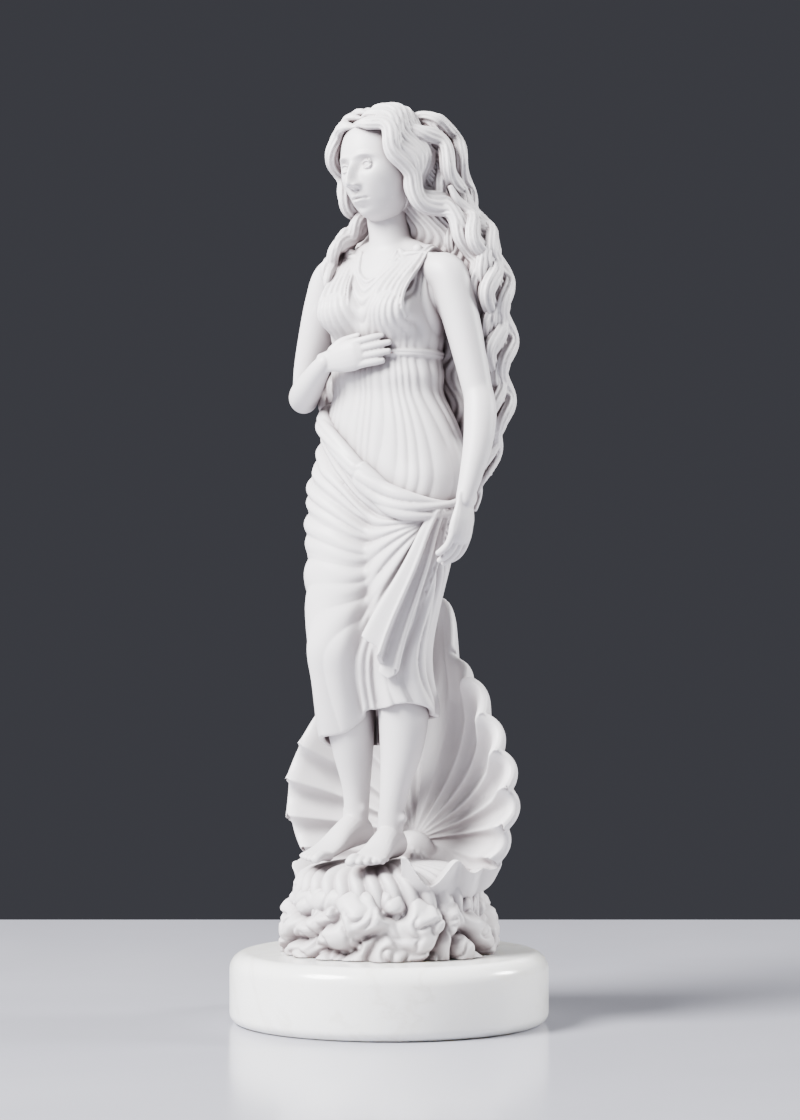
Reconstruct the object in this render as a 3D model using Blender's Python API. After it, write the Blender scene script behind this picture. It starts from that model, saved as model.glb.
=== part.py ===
"""A marble statuette on its round plinth: a draped nymph who stands on a scallop shell and rockwork.

The statuette is one cast piece that rests on a separate turned plinth. She faces -Y, +Z is up, and the
origin is the centre of the plinth's underside. Places on the figure are thousandths of her own height, from
her soles up. The shell, the rockwork and the plinth have their own sizes in metres.
"""

import math

import bmesh
import bpy
import numpy as np
from mathutils import Matrix, Vector, noise

MM = 0.001

# The rockwork under the shell.
ROCK_DIAMETER = 70 * MM
ROCK_HEIGHT = 19 * MM
ROCK_LUMP = 12 * MM
ROCK_RELIEF = 6.6 * MM
ROCK_EDGE = 5 * MM
ROCK_CUT = 3 * MM
ROCK_SEED = 7

# The plinth, a turned disc with rounded edges that stands out round the rockwork.
PLINTH_MARGIN = 16 * MM
PLINTH_HEIGHT = 22.5 * MM
PLINTH_EDGE_RADIUS = 5.5 * MM
PLINTH_FOOT_RADIUS = 3.5 * MM
PLINTH_SEGMENTS = 48

# The statuette rests on the plinth with a gap that keeps the two solids apart.
SEAT_GAP = 0.3 * MM

# The shell: a fan that stands behind the legs and wraps forward into a low wavy lip, and a fluted cushion
# under the feet.
SHELL_SPREAD = 46 * MM
SHELL_RISE = 77 * MM
SHELL_DEPTH = 15 * MM
SHELL_WALL = 3.5 * MM
SHELL_WRAP = 19 * MM
SHELL_RIBS = 21
SHELL_RIB_DEPTH = 5 * MM
HINGE_BACK = 13 * MM
HINGE_RISE = 5 * MM
LIP_RISE = 8 * MM
LIP_WAVE = 4 * MM
CUSHION_HALF_WIDTH = 31 * MM
CUSHION_DEPTH = 29 * MM
CUSHION_RISE = 10 * MM
CUSHION_FLUTES = 16
FLUTE_DEPTH = 2.2 * MM

# The figure, from her soles to the top of her hair.
FIGURE_HEIGHT = 241 * MM
FIGURE_FORWARD = 1 * MM

# How finely the clay is fused, and how many triangles the statuette keeps.
LIMB_VOXEL = 1.2 * MM
STATUE_VOXEL = 0.8 * MM
STATUE_TRIANGLES = 8650

PLINTH_DIAMETER = ROCK_DIAMETER + 2 * PLINTH_MARGIN
ROCK_BASE = PLINTH_HEIGHT + SEAT_GAP
ROCK_TOP = ROCK_BASE + ROCK_HEIGHT
SOLE = ROCK_TOP + CUSHION_RISE
FIGURE = Matrix.Translation((0, -FIGURE_FORWARD, SOLE)) @ Matrix.Scale(FIGURE_HEIGHT / 1000, 4)
METRES = Matrix.Identity(4)

# Places kept finer when the mesh is thinned: centre and reach in thousandths of the figure, and enlargement.
FINE_PLACES = [
    ((-4, -70, 904), 52, 3.2),
    ((0, -72, 666), 46, 1.7),
    ((141, -39, 431), 42, 1.4),
    ((0, 0, -80), 150, 1.35),
]
FINE_FADE = 5


class Clay:
    """Closed shells of points and faces, which are fused into one solid later."""

    def __init__(self):
        self.points = []
        self.faces = []
        self.count = 0

    def add_rings(self, rings, place=FIGURE, flat_ends=False):
        """A closed shell through rings of points, an array (rings, sides, 3).

        Each end is closed round a point in its middle or, with flat_ends, straight across a flattened ring.
        """
        rings = np.asarray(rings, float)
        steps, sides = rings.shape[:2]
        points = rings.reshape(-1, 3)
        if not flat_ends:
            points = np.vstack([points, rings[0].mean(0), rings[-1].mean(0)])
        matrix = np.array(place)
        self.points.append(points @ matrix[:3, :3].T + matrix[:3, 3])
        first = self.count + steps * sides
        for j in range(steps - 1):
            for i in range(sides):
                a = self.count + j * sides + i
                b = self.count + j * sides + (i + 1) % sides
                self.faces.append((a, b, b + sides, a + sides))
        last_ring = self.count + (steps - 1) * sides
        if flat_ends:
            for i in range(sides // 2 - 1):
                strip = (i + 1, i, sides - 1 - i, sides - 2 - i)
                self.faces.append(tuple(self.count + v for v in strip))
                self.faces.append(tuple(last_ring + v for v in strip[::-1]))
        else:
            for i in range(sides):
                nxt = (i + 1) % sides
                self.faces.append((self.count + nxt, self.count + i, first))
                self.faces.append((last_ring + i, last_ring + nxt, first + 1))
        self.count += len(points)

    def add_mesh(self, mesh):
        """The points and faces of a mesh that is already in place, in metres."""
        co = np.empty(len(mesh.vertices) * 3)
        mesh.vertices.foreach_get("co", co)
        self.points.append(co.reshape(-1, 3))
        self.faces += [tuple(self.count + v for v in p.vertices) for p in mesh.polygons]
        self.count += len(mesh.vertices)

    def make(self, name):
        mesh = bpy.data.meshes.new(name)
        mesh.from_pydata(np.vstack(self.points).tolist(), [], self.faces)
        made = bpy.data.objects.new(name, mesh)
        bpy.context.scene.collection.objects.link(made)
        return made


def evaluated_mesh(source, name):
    """The mesh that an object's modifiers make. The object itself is removed."""
    graph = bpy.context.evaluated_depsgraph_get()
    mesh = bpy.data.meshes.new_from_object(source.evaluated_get(graph))
    mesh.name = name
    bpy.data.objects.remove(source)
    return mesh


def fused(clay, name, voxel, smoothing):
    """One skin round all the shells of the clay, with its creases softened."""
    lump = clay.make(name)
    remesh = lump.modifiers.new("Fuse", "REMESH")
    remesh.mode = "VOXEL"
    remesh.voxel_size = voxel
    smooth = lump.modifiers.new("Soften", "SMOOTH")
    smooth.factor = 0.5
    smooth.iterations = smoothing
    return evaluated_mesh(lump, name)


def spline(rows, count):
    """A Catmull-Rom curve through the rows of numbers, read at even steps."""
    rows = np.asarray(rows, float)
    padded = np.vstack([2 * rows[0] - rows[1], rows, 2 * rows[-1] - rows[-2]])
    t = np.linspace(0, len(rows) - 1, count)
    i = np.minimum(t.astype(int), len(rows) - 2)
    f = (t - i)[:, None]
    a, b, c, d = padded[i], padded[i + 1], padded[i + 2], padded[i + 3]
    return 0.5 * (2 * b + (c - a) * f + (2 * a - 5 * b + 4 * c - d) * f**2 + (3 * b - a - 3 * c + d) * f**3)


def unit(v):
    return v / np.maximum(np.linalg.norm(v, axis=-1, keepdims=True), 1e-9)


def frames(path, outward):
    """Unit vectors along, outward and across at each point of a path."""
    along = unit(np.gradient(path, axis=0))
    out = np.array(outward, float)
    if out.ndim == 1:
        out = np.repeat(out[None], len(path), axis=0)
    out = unit(out - along * (out * along).sum(1, keepdims=True))
    return along, out, np.cross(along, out)


def tube_rings(rows, steps, sides, outward=(0, -1, 0), flat=1.0, lobes=0, relief=0.0):
    """Rings round a path of rows (x, y, z, radius), rounded at both ends.

    flat is the thickness over the width, and lobes and relief flute the section like strands.
    """
    curve = spline(rows, steps)
    path, radius = curve[:, :3], np.maximum(curve[:, 3], 1e-5)
    along, out, across = frames(path, outward)
    angles = np.arange(sides) * math.tau / sides
    section = 1 + relief * np.cos(lobes * angles)
    cap = np.radians([75, 50, 25])
    centre = np.vstack(
        [
            [path[0] - along[0] * radius[0] * flat * math.sin(a) for a in cap],
            path,
            [path[-1] + along[-1] * radius[-1] * flat * math.sin(a) for a in cap[::-1]],
        ]
    )
    size = np.concatenate([radius[0] * np.cos(cap), radius, radius[-1] * np.cos(cap[::-1])])
    pick = np.clip(np.arange(len(centre)) - len(cap), 0, steps - 1)
    ring = (
        across[pick][:, None] * np.cos(angles)[None, :, None]
        + flat * out[pick][:, None] * np.sin(angles)[None, :, None]
    )
    return centre[:, None] + ring * (size[:, None] * section[None])[..., None]


def ball_rings(centre, radii, turn=(0, 0, 0), steps=12, sides=18):
    """An ellipsoid, turned by angles in degrees about X, Y and Z in that order."""
    lift = np.linspace(-math.pi / 2, math.pi / 2, steps + 2)[1:-1]
    angles = np.arange(sides) * math.tau / sides
    ball = np.stack(
        [
            np.outer(np.cos(lift), np.cos(angles)),
            np.outer(np.cos(lift), np.sin(angles)),
            np.outer(np.sin(lift), np.ones(sides)),
        ],
        axis=-1,
    )
    rx, ry, rz = (Matrix.Rotation(math.radians(t), 3, axis) for t, axis in zip(turn, "XYZ"))
    return (ball * radii) @ np.array(rz @ ry @ rx).T + centre


def bump(x, middle, width):
    return np.exp(-(((x - middle) / width) ** 2))


def smooth_step(x):
    x = np.clip(x, 0, 1)
    return x * x * (3 - 2 * x)


# Limbs, as rows of x, y, z and radius. Her left leg, at +X, carries her, and the right knee is bent a little.
LEFT_LEG = [
    (50, 4, 515, 58),
    (48, 0, 470, 56),
    (42, -8, 400, 48),
    (34, -15, 330, 39),
    (29, -18, 280, 34.5),
    (28, -12, 240, 32),
    (29, -4, 200, 34),
    (26, -4, 150, 29),
    (20, -10, 100, 20.5),
    (15, -12, 62, 17),
    (13, -12, 40, 18),
]
RIGHT_LEG = [
    (-50, 2, 510, 57),
    (-49, -8, 465, 55),
    (-46, -26, 395, 47),
    (-43, -42, 325, 39),
    (-41, -50, 278, 35),
    (-41, -41, 238, 32),
    (-44, -26, 200, 33.5),
    (-48, -12, 150, 28.5),
    (-51, 0, 100, 20),
    (-53, 4, 66, 17),
    (-54, 2, 46, 18),
]
LEFT_UPPER_ARM = [
    (70, 6, 776, 25),
    (92, 6, 772, 27),
    (104, 7, 742, 26),
    (116, 9, 700, 24),
    (128, 11, 652, 21.5),
    (137, 12, 614, 19.5),
]
LEFT_FOREARM = [
    (137, 12, 618, 19.5),
    (145, 5, 590, 21.5),
    (150, -8, 550, 19.5),
    (149, -24, 505, 15),
    (146, -34, 474, 12),
]
RIGHT_UPPER_ARM = [
    (-70, 4, 778, 25),
    (-92, 4, 774, 27),
    (-106, 4, 744, 26),
    (-120, 5, 700, 24),
    (-134, 7, 652, 21),
    (-143, 9, 612, 16.5),
]
RIGHT_FOREARM = [
    (-142, 8, 611, 16.5),
    (-125, -17, 615, 20.5),
    (-97, -44, 626, 19.5),
    (-64, -68, 645, 15),
    (-46, -77, 657, 12),
]
NECK = [(0, 14, 785, 40), (0, 11, 806, 33), (-1, 8, 828, 28), (-3, 4, 850, 27), (-5, 2, 888, 29)]
YOKE = [
    (-90, 6, 770, 23),
    (-58, 9, 786, 22),
    (-26, 12, 799, 24),
    (26, 12, 799, 24),
    (58, 9, 786, 22),
    (90, 6, 768, 23),
]
# The trunk, as rows of height, centre x, centre y, half width and half depth.
TRUNK = [
    (440, 4, 6, 60, 40),
    (470, 5, 6, 98, 58),
    (505, 5, 7, 108, 66),
    (545, 4, 6, 104, 62),
    (585, 3, 3, 88, 54),
    (625, 1, 0, 73, 48),
    (665, 0, 1, 75, 50),
    (705, 0, 3, 82, 54),
    (745, 0, 5, 85, 53),
    (775, 0, 7, 76, 45),
    (800, 0, 9, 54, 34),
    (815, 0, 10, 34, 26),
]
BREASTS = [((41, -46, 724), (32, 28, 31)), ((-41, -46, 724), (32, 28, 31))]


def column(table, heights):
    """The rows of a table read at heights, on a smooth curve through them."""
    table = np.array(table, float)
    fine = spline(table, 12 * (len(table) - 1) + 1)
    return [np.interp(heights, fine[:, 0], fine[:, k]) for k in range(1, table.shape[1])]


def leg_at(leg, z):
    fine = spline(leg, 8 * (len(leg) - 1) + 1)[::-1]
    return [float(np.interp(z, fine[:, 2], fine[:, k])) for k in (0, 1, 3)]


def trunk_rings(steps, sides):
    heights = np.linspace(TRUNK[0][0], TRUNK[-1][0], steps)
    angles = np.arange(sides) * math.tau / sides
    x, y, a, b = column(TRUNK, heights)
    return [
        np.stack([cx + ra * np.sin(angles), cy - rb * np.cos(angles), np.full(sides, z)], axis=1)
        for z, cx, cy, ra, rb in zip(heights, x, y, a, b)
    ]


def shapes_at(z):
    """The ellipses that trunk, legs and breasts cut at height z, as centre and half sizes."""
    shapes = []
    if z > TRUNK[0][0]:
        shapes.append([float(v) for v in column(TRUNK, z)])
    if z < 520:
        for leg in (LEFT_LEG, RIGHT_LEG):
            x, y, r = leg_at(leg, z)
            shapes.append([x, y, r, r])
    for (x, y, zc), (a, b, c) in BREASTS:
        if abs(z - zc) < c * 0.98:
            share = math.sqrt(1 - ((z - zc) / c) ** 2)
            shapes.append([x, y, a * share, b * share])
    return np.array(shapes)


def softened(table, rounds):
    """A table of reach by height and angle, with its jumps evened out. Angles meet end to end."""
    for _ in range(rounds):
        table = (np.roll(table, 1, axis=1) + 2 * table + np.roll(table, -1, axis=1)) / 4
        ends = np.vstack([table[:1], table, table[-1:]])
        table = (ends[:-2] + 2 * table + ends[2:]) / 4
    return table


class Cover:
    """How far cloth stands from the body's middle line, in every direction and at every height.

    Angle 0 is her front and grows towards her left. hug 1 follows every hollow of trunk and legs, and hug 0
    is a band stretched round them.
    """

    def __init__(self, low=100, high=815, step=6, sides=120):
        self.heights = np.arange(low, high, step, dtype=float)
        self.angles = np.arange(sides) * math.tau / sides
        away = np.stack([np.sin(self.angles), -np.cos(self.angles)], axis=1)
        facing = away @ away.T
        self.middles, follows, bands = [], [], []
        for z in self.heights:
            shapes = shapes_at(z)
            waist = smooth_step((z - 430) / 80)
            legs = np.mean([leg_at(leg, z)[:2] for leg in (LEFT_LEG, RIGHT_LEG)], axis=0)
            trunk = np.array(column(TRUNK, z)[:2])
            middle = trunk * waist + legs * (1 - waist)
            size = shapes[:, None, 2:]
            p = (middle - shapes[:, None, :2]) / size
            q = away[None] / size
            pq, qq, pp = (p * q).sum(2), (q * q).sum(2), (p * p).sum(2)
            inside = pq * pq - qq * (pp - 1)
            hit = np.where(inside >= 0, (-pq + np.sqrt(np.maximum(inside, 0))) / qq, 0)
            reach = (shapes[:, :2] - middle) @ away.T + np.sqrt(((away[None] * size) ** 2).sum(2))
            reach = reach.max(0)
            band = np.where(facing > 0.05, reach[None] / np.maximum(facing, 0.05), np.inf).min(1)
            self.middles.append(middle)
            follows.append(hit.max(0))
            bands.append(band)
        self.middles = np.array(self.middles)
        self.follows, self.bands = softened(np.array(follows), 4), softened(np.array(bands), 4)

    def at(self, angles, heights, hug, stand):
        """Points at angles and heights, standing off the body by stand."""
        angles, heights = np.broadcast_arrays(np.asarray(angles, float), np.asarray(heights, float))
        step = self.heights[1] - self.heights[0]
        row = np.clip((heights - self.heights[0]) / step, 0, len(self.heights) - 1.001)
        col = (angles % math.tau) / (self.angles[1] - self.angles[0])
        r0, c0 = row.astype(int), col.astype(int)
        fr, fc = row - r0, col - c0
        c0, c1 = c0 % len(self.angles), (c0 + 1) % len(self.angles)

        def read(table):
            low = table[r0, c0] * (1 - fc) + table[r0, c1] * fc
            high = table[r0 + 1, c0] * (1 - fc) + table[r0 + 1, c1] * fc
            return low * (1 - fr) + high * fr

        reach = read(self.bands) * (1 - hug) + read(self.follows) * hug + stand
        x = np.interp(heights, self.heights, self.middles[:, 0])
        y = np.interp(heights, self.heights, self.middles[:, 1])
        return np.stack([x + reach * np.sin(angles), y - reach * np.cos(angles), heights], axis=-1)


def pleat(phase):
    """A rounded ridge with a narrow valley at each whole number."""
    return np.abs(np.sin(math.pi * phase)) ** 0.8


def wrapped(angles):
    """Angles as degrees from -180 to 180."""
    return np.degrees((angles + math.pi) % math.tau - math.pi)


# Where her left hand gathers the mantle: an angle round the body, in degrees, and a height.
GRIP_ANGLE = 74
GRIP_HEIGHT = 450


def roll_height(angles):
    """Where the mantle's rolled edge runs round the hips: high on her right, low in her left hand."""
    return 528 + 66 * np.cos(angles - math.radians(GRIP_ANGLE + 180))


def mantle_folds(angles, heights, hem_share):
    """How far the mantle's folds stand out. They spread from her left hand, and hang straight at the back."""
    across = wrapped(angles)
    run = np.radians(across - GRIP_ANGLE) * 95
    rise = heights - GRIP_HEIGHT
    spread = np.hypot(run, rise)
    fan = np.degrees(np.arctan2(rise + 0.0017 * run * np.abs(run), -run))
    sway = 0.35 * np.sin(spread / 45) + 0.4 * np.sin(fan / 23)
    split = smooth_step((spread - 95) / 55)
    wide = pleat(fan / 13 + sway) - 0.45
    narrow = pleat(fan / 6.5 + 2 * sway + 0.25) - 0.45
    fan_fold = np.minimum(10, spread * 0.11) * (wide * (1 - 0.6 * split) + narrow * 0.6 * split)
    wander = 0.5 * np.sin(2 * angles + 0.8) + 0.35 * np.sin(5 * angles + hem_share)
    hang_fold = (3 + 7 * hem_share) * (pleat(19 * angles / math.tau + wander) - 0.45)
    front = smooth_step((across + 125) / 50) * smooth_step((118 - across) / 30)
    thigh = 0.85 * bump(across, -33, 27) * bump(heights, 350, 105)
    other_thigh = 0.5 * bump(across, 28, 17) * bump(heights, 340, 100)
    return (1 - thigh - other_thigh) * (front * fan_fold + (1 - front) * hang_fold)


def mantle_rings(cover, steps, sides):
    """The mantle, from its roll on the hips to a slanting hem below the knees, turned under at the hem."""
    angles = np.arange(sides) * math.tau / sides
    top = roll_height(angles)
    hem = 176 + 32 * np.cos(angles - math.radians(62)) + 4 * np.sin(5 * angles + 1)
    rings = []
    for share in np.linspace(0, 1, steps):
        heights = top + (hem - top) * share
        hug = 0.6 - 0.15 * share
        stand = 5 + 5 * share + mantle_folds(angles, heights, share)
        rings.append(cover.at(angles, heights, hug, stand))
    for inward, up in ((4.5, -1.5), (8.5, 1), (10, 34)):
        rings.append(cover.at(angles, hem + up, hug, stand - inward))
    return rings


def ribbon_rings(path, across, out, widths, depths, thick, folds, count, drop=0):
    """A strip of cloth in zigzag folds along a path. drop lowers the middle of its lower end."""
    share = np.linspace(-1, 1, count)
    wave_side = share + 0.25 / folds * np.sin(math.tau * folds * share)
    wave_out = np.sin(math.pi * folds * share)
    fall = np.linspace(0, 1, len(path)) ** 2
    ways = np.broadcast_to(across, path.shape), np.broadcast_to(out, path.shape)
    rings = []
    for point, side_way, out_way, width, depth, down in zip(path, *ways, widths, depths, fall):
        line = np.column_stack([wave_side * width, wave_out * depth])
        way = unit(np.gradient(line, axis=0))
        away = np.column_stack([-way[:, 1], way[:, 0]]) * thick / 2
        loop = np.vstack([line + away, (line - away)[::-1]])
        ring = point + loop[:, :1] * side_way + loop[:, 1:] * out_way
        ring[:, 2] -= drop * down * (1 - np.abs(np.concatenate([share, share[::-1]])))
        rings.append(ring)
    return rings


def gathered_rings(cover, steps):
    """The mantle's end, which hangs in a fall of folds from her left hand."""
    heights = np.linspace(GRIP_HEIGHT + 12, 300, steps)
    down = np.linspace(0, 1, steps)
    turn = np.radians(GRIP_ANGLE - 10 * down + 3 * np.sin(4 * down))
    path = cover.at(turn, heights, 0.3, 12 - 3 * down)
    way = np.radians(GRIP_ANGLE - 6)
    across = np.array((math.cos(way), math.sin(way), 0))
    out = np.array((math.sin(way), -math.cos(way), 0))
    widths = 9 + 23 * down**0.8
    depths = 3 + 6 * down
    return ribbon_rings(path, across, out, widths, depths, 6.5, 2.5, 61, 58)


def roll_shells(cover, steps, sides):
    """The rolled upper edge of the mantle: strands of cloth that twist round one another."""
    shells = []
    angles = np.linspace(0, math.tau, steps, endpoint=False)
    for n in range(5):
        twist = angles * 1.5 + n * math.tau / 5
        heights = roll_height(angles) + 8 * np.sin(twist) + 3 * np.sin(2 * angles + n)
        stand = 9 + 5 * np.cos(twist)
        path = cover.at(angles, heights, 0.6, stand)
        pinch = 1 - 0.4 * bump(wrapped(angles), GRIP_ANGLE, 22)
        size = (8.4 + 1.4 * np.sin(angles * 3 + n * 2)) * pinch
        shells.append(loop_rings(path, size, sides))
    return shells


def loop_rings(path, size, sides):
    """Rings round a closed path, which meet end to end."""
    along = unit(np.roll(path, -1, axis=0) - np.roll(path, 1, axis=0))
    out = path - path.mean(0)
    out = unit(out - along * (out * along).sum(1, keepdims=True))
    across = np.cross(along, out)
    angles = np.arange(sides) * math.tau / sides
    ring = across[:, None] * np.cos(angles)[None, :, None] + out[:, None] * np.sin(angles)[None, :, None]
    rings = path[:, None] + ring * size[:, None, None]
    return np.concatenate([rings, rings[:2]])


def tunic_rings(cover, steps, sides):
    """The thin tunic, finely pleated, from the mantle's roll up to a low neck and the shoulders."""
    angles = np.arange(sides) * math.tau / sides
    across = np.abs(wrapped(angles))
    low = roll_height(angles) - 14
    neck = 764 + 44 * bump(across, 50, 26) + 14 * bump(across, 180, 60) + 26 * bump(across, 132, 26)
    rings = []
    for share in np.linspace(0, 1, steps):
        heights = low + (neck - low) * share
        points = cover.at(angles, heights, 0.75, 0)
        above = np.clip((heights - 672) / 40, 0, 1)
        pin = np.degrees(np.arctan2(58 - np.sqrt(points[:, 0] ** 2 + 60), 826 - heights))
        bust_phase = pin / 4.6
        waist_phase = 34 * angles / math.tau + 0.6 * np.sin(2 * angles + heights / 60)
        waist_phase = waist_phase + 0.3 * np.sin(7 * angles)
        folds = above * 3.4 * (pleat(bust_phase) - 0.5) + (1 - above) * 2.2 * (pleat(waist_phase) - 0.4)
        blouse = 5.5 * bump(heights, 640, 16) + 3 * bump(heights, 585, 35)
        rings.append(cover.at(angles, heights, 0.8, 3.2 + folds + blouse))
    return rings


def belt_rings(cover, sides):
    """A narrow girdle under the bust."""
    angles = np.arange(sides) * math.tau / sides
    level = 667 + 3 * np.cos(angles)
    return [
        cover.at(angles, level + lift, 0.8, np.full(sides, float(stand)))
        for lift, stand in ((-6, 0), (-5, 6), (-2, 8), (0, 6.5), (2, 8), (5, 6), (6, 0))
    ]


def hand_rings(wrist, reach, palm, curl, thumb_side, sides=10):
    """A hand: a flat palm, four fingers that bend towards the palm, and a thumb.

    reach points from wrist to knuckles, palm points out of the palm, and curl is each finger joint's bend.
    """
    wrist, reach, palm = np.array(wrist, float), unit(np.array(reach, float)), np.array(palm, float)
    palm = unit(palm - reach * (palm @ reach))
    side = np.cross(reach, palm) * thumb_side
    shells = []
    spine = [wrist + reach * d - palm * s for d, s in ((-6, 0), (10, 1), (28, 2), (44, 1.5), (52, 0))]
    widths = (13, 15, 20, 21, 18)
    rows = [(*p, w) for p, w in zip(spine, widths)]
    shells.append(tube_rings(rows, 12, 16, outward=palm, flat=0.46))
    for place, length in ((15, 40), (5, 46), (-5, 43), (-14.5, 34)):
        point = wrist + reach * (49 - abs(place) * 0.15) + side * place - palm * 1.5
        heading, lean = 0.0, place * 0.003
        rows = [(*(point - reach * 8), 5.4), (*point, 5.6)]
        for share, bend in ((0.42, curl), (0.32, curl * 1.4), (0.26, curl)):
            heading += math.radians(bend)
            way = unit(reach * math.cos(heading) + palm * math.sin(heading) + side * lean)
            point = point + way * length * share
            rows.append((*point, 4.9 if share > 0.3 else 4.0))
        shells.append(tube_rings(rows, 16, sides, outward=palm, flat=0.95))
    root = wrist + reach * 14 + side * 12
    tip = root + reach * 26 + side * 11 + palm * 6
    middle = root + (tip - root) * 0.5 + side * 2.5
    end = tip + reach * 12 + side
    rows = [(*root, 7), (*middle, 6.4), (*tip, 5.2), (*end, 4.2)]
    shells.append(tube_rings(rows, 12, sides, outward=palm))
    return shells


def foot_rings(ankle, toe_way, heel_lift, outer):
    """A bare foot under an ankle at (x, y), pointing along toe_way. outer is +1 with the little toe at +X."""
    way = unit(np.array((*toe_way, 0.0)))
    side = np.array((-way[1], way[0], 0.0)) * (1 if outer * -way[1] > 0 else -1)
    base = np.array((*ankle, 0.0))
    shells = []
    profile = [
        (-26, 16 + heel_lift, 13, 12),
        (-14, 22 + heel_lift, 18, 20),
        (6, 26 + heel_lift * 0.8, 18, 24),
        (32, 21 + heel_lift * 0.5, 19, 19),
        (58, 13 + heel_lift * 0.2, 22, 12),
        (80, 9, 24, 8.5),
        (92, 7.5, 22, 6.5),
    ]
    angles = np.arange(20) * math.tau / 20
    rings = []
    for along, lift, half_width, half_height in spline(profile, 18):
        centre = base + way * along + np.array((0, 0, lift))
        rings.append(
            centre
            + side * (half_width * np.cos(angles))[:, None]
            + np.array((0, 0, 1.0)) * (half_height * np.sin(angles))[:, None]
        )
    shells.append(np.array(rings))
    for place, length, radius in ((-16, 31, 8.6), (-5.5, 29, 6), (3.5, 25, 5.6), (12, 20, 5.2), (20, 14, 5)):
        root = base + way * (80 - max(place, 0) * 0.35) + side * place + np.array((0, 0, 8.0))
        middle = root + way * length * 0.45 + np.array((0, 0, 1.5))
        tip = root + way * length * 0.8 + np.array((0, 0, -2.0))
        rows = [(*root, radius), (*middle, radius * 0.92), (*tip, radius * 0.9)]
        shells.append(tube_rings(rows, 8, 10, outward=(0, 0, 1), flat=0.85))
    return shells


HEAD_CENTRE = (-4, -8, 915)
HEAD_SIZE = 1.1
HEAD_TURN = (2, -5, -8)
SKULL = (45, 52, 57, 65)


def on_head(points):
    """Points of the upright head, in its own thousandths, moved to its place and turn on the neck."""
    rx, ry, rz = (Matrix.Rotation(math.radians(t), 3, axis) for t, axis in zip(HEAD_TURN, "XYZ"))
    return np.asarray(points, float) * HEAD_SIZE @ np.array(rz @ ry @ rx).T + HEAD_CENTRE


# How far the ridge of the nose stands out, by height from the middle of the head.
NOSE_RIDGE = [
    (-33, 0),
    (-28.5, 1.2),
    (-26, 6.5),
    (-22.5, 12.6),
    (-19, 14),
    (-14, 12.2),
    (-7, 9),
    (1, 5.2),
    (8, 2),
    (15, 0),
]


def head_points(steps, sides):
    """The head as a sphere whose points are moved: skull, jaw, brow, nose, lips and chin."""
    lift = np.linspace(-math.pi / 2, math.pi / 2, steps + 2)[1:-1, None]
    angles = np.arange(sides)[None] * math.tau / sides
    z = np.sin(lift)
    low = np.clip(-z, 0, 1)
    full = (1 - np.abs(z) ** 2.8) ** (1 / 2.8)
    facing = np.cos(angles)
    front = smooth_step((facing + 0.15) / 0.9)
    half_width, to_face, to_nape, half_height = SKULL
    px = half_width * (1 - 0.31 * low**1.5) * (0.45 * np.cos(lift) + 0.55 * full) * np.sin(angles)
    face = (to_face - 4 * low) * (0.2 * np.cos(lift) + 0.8 * full)
    nape = (to_nape - 30 * low) * np.cos(lift)
    py = -np.where(facing > 0, face, nape) * facing
    pz = half_height * z + 0 * angles
    side = np.abs(px)
    forward = 2.0 * bump(pz, 13.5 - 0.014 * (side - 16) ** 2, 4) * bump(side, 17, 13)
    forward -= 6.8 * bump(pz, 1, 7.5) * bump(side, 17.5, 9)
    forward -= 1.6 * bump(pz, 6, 6) * bump(px, 0, 6)
    ridge = column(NOSE_RIDGE, np.clip(pz, NOSE_RIDGE[0][0], NOSE_RIDGE[-1][0]))[0]
    forward += ridge * bump(px, 0, 4.4 + 2.4 * bump(pz, -21, 5))
    forward += 4.8 * bump(pz, -22.8, 3) * bump(side, 7, 2.6)
    forward += 2.2 * bump(pz, -37, 10) * bump(px, 0, 15)
    forward += 2.0 * bump(pz, -13, 10) * bump(side, 27, 10)
    forward -= 1.4 * bump(pz, -34, 9) * bump(side, 24, 7)
    forward += 3.3 * bump(pz, -34.4, 2.6) * bump(px, 0, 8.6)
    forward += 3.9 * bump(pz, -41.3, 2.9) * bump(px, 0, 7.6)
    forward -= 2.4 * bump(pz, -37.7, 1.2) * bump(px, 0, 10.5)
    forward -= 2.0 * bump(pz, -47.6, 3.2) * bump(px, 0, 11)
    forward += 4.0 * bump(pz, -56, 6.6) * bump(px, 0, 10.5)
    return on_head(np.stack([px, py - forward * front, pz], axis=-1))


def eye_shells(steps, sides):
    """Each eye: a ball between two lids."""
    shells = []
    for side in (-1, 1):
        ball = ball_rings((0, 0, 0), (1, 1, 1), steps=steps, sides=sides)
        lift = np.degrees(np.arcsin(np.clip(ball[..., 2], -1, 1)))
        turn = side * np.degrees(np.arctan2(ball[..., 0], -ball[..., 1]))
        middle = 0.05 * turn
        widest = np.clip(1 - (turn / 52) ** 2, 0, 1)
        gap = np.where(lift > middle, 25 * widest - lift + middle, 19 * widest + lift - middle)
        bare = smooth_step(gap / 6) * (np.abs(turn) < 52)
        size = 9.9 - 1.5 * bare - 1.2 * smooth_step((np.abs(turn) - 50) / 25)
        shells.append(on_head(ball * size[..., None] + (side * 17.5, -37.2, 0.5)))
    return shells


# The outline of the long hair, as rows of height, centre x, centre y, half width and half depth.
HAIR = [
    (478, 66, 76, 12, 4),
    (505, 62, 71, 36, 11),
    (540, 58, 66, 60, 17),
    (590, 50, 60, 78, 24),
    (650, 46, 58, 86, 30),
    (710, 44, 57, 90, 32),
    (770, 44, 55, 84, 32),
    (815, 42, 53, 74, 33),
    (855, 32, 48, 60, 38),
    (895, 19, 35, 56, 44),
    (930, 8, 20, 52, 48),
    (962, 0, 8, 38, 40),
]


def hair_point(z, turn, stand):
    """A point on the outline of the long hair. Turn 0 is straight behind her, and 90 her left."""
    cx, cy, a, b = column(HAIR, z)
    turn = math.radians(turn)
    return (cx + (a + stand) * math.sin(turn), cy + (b + stand) * math.cos(turn), z)


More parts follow.
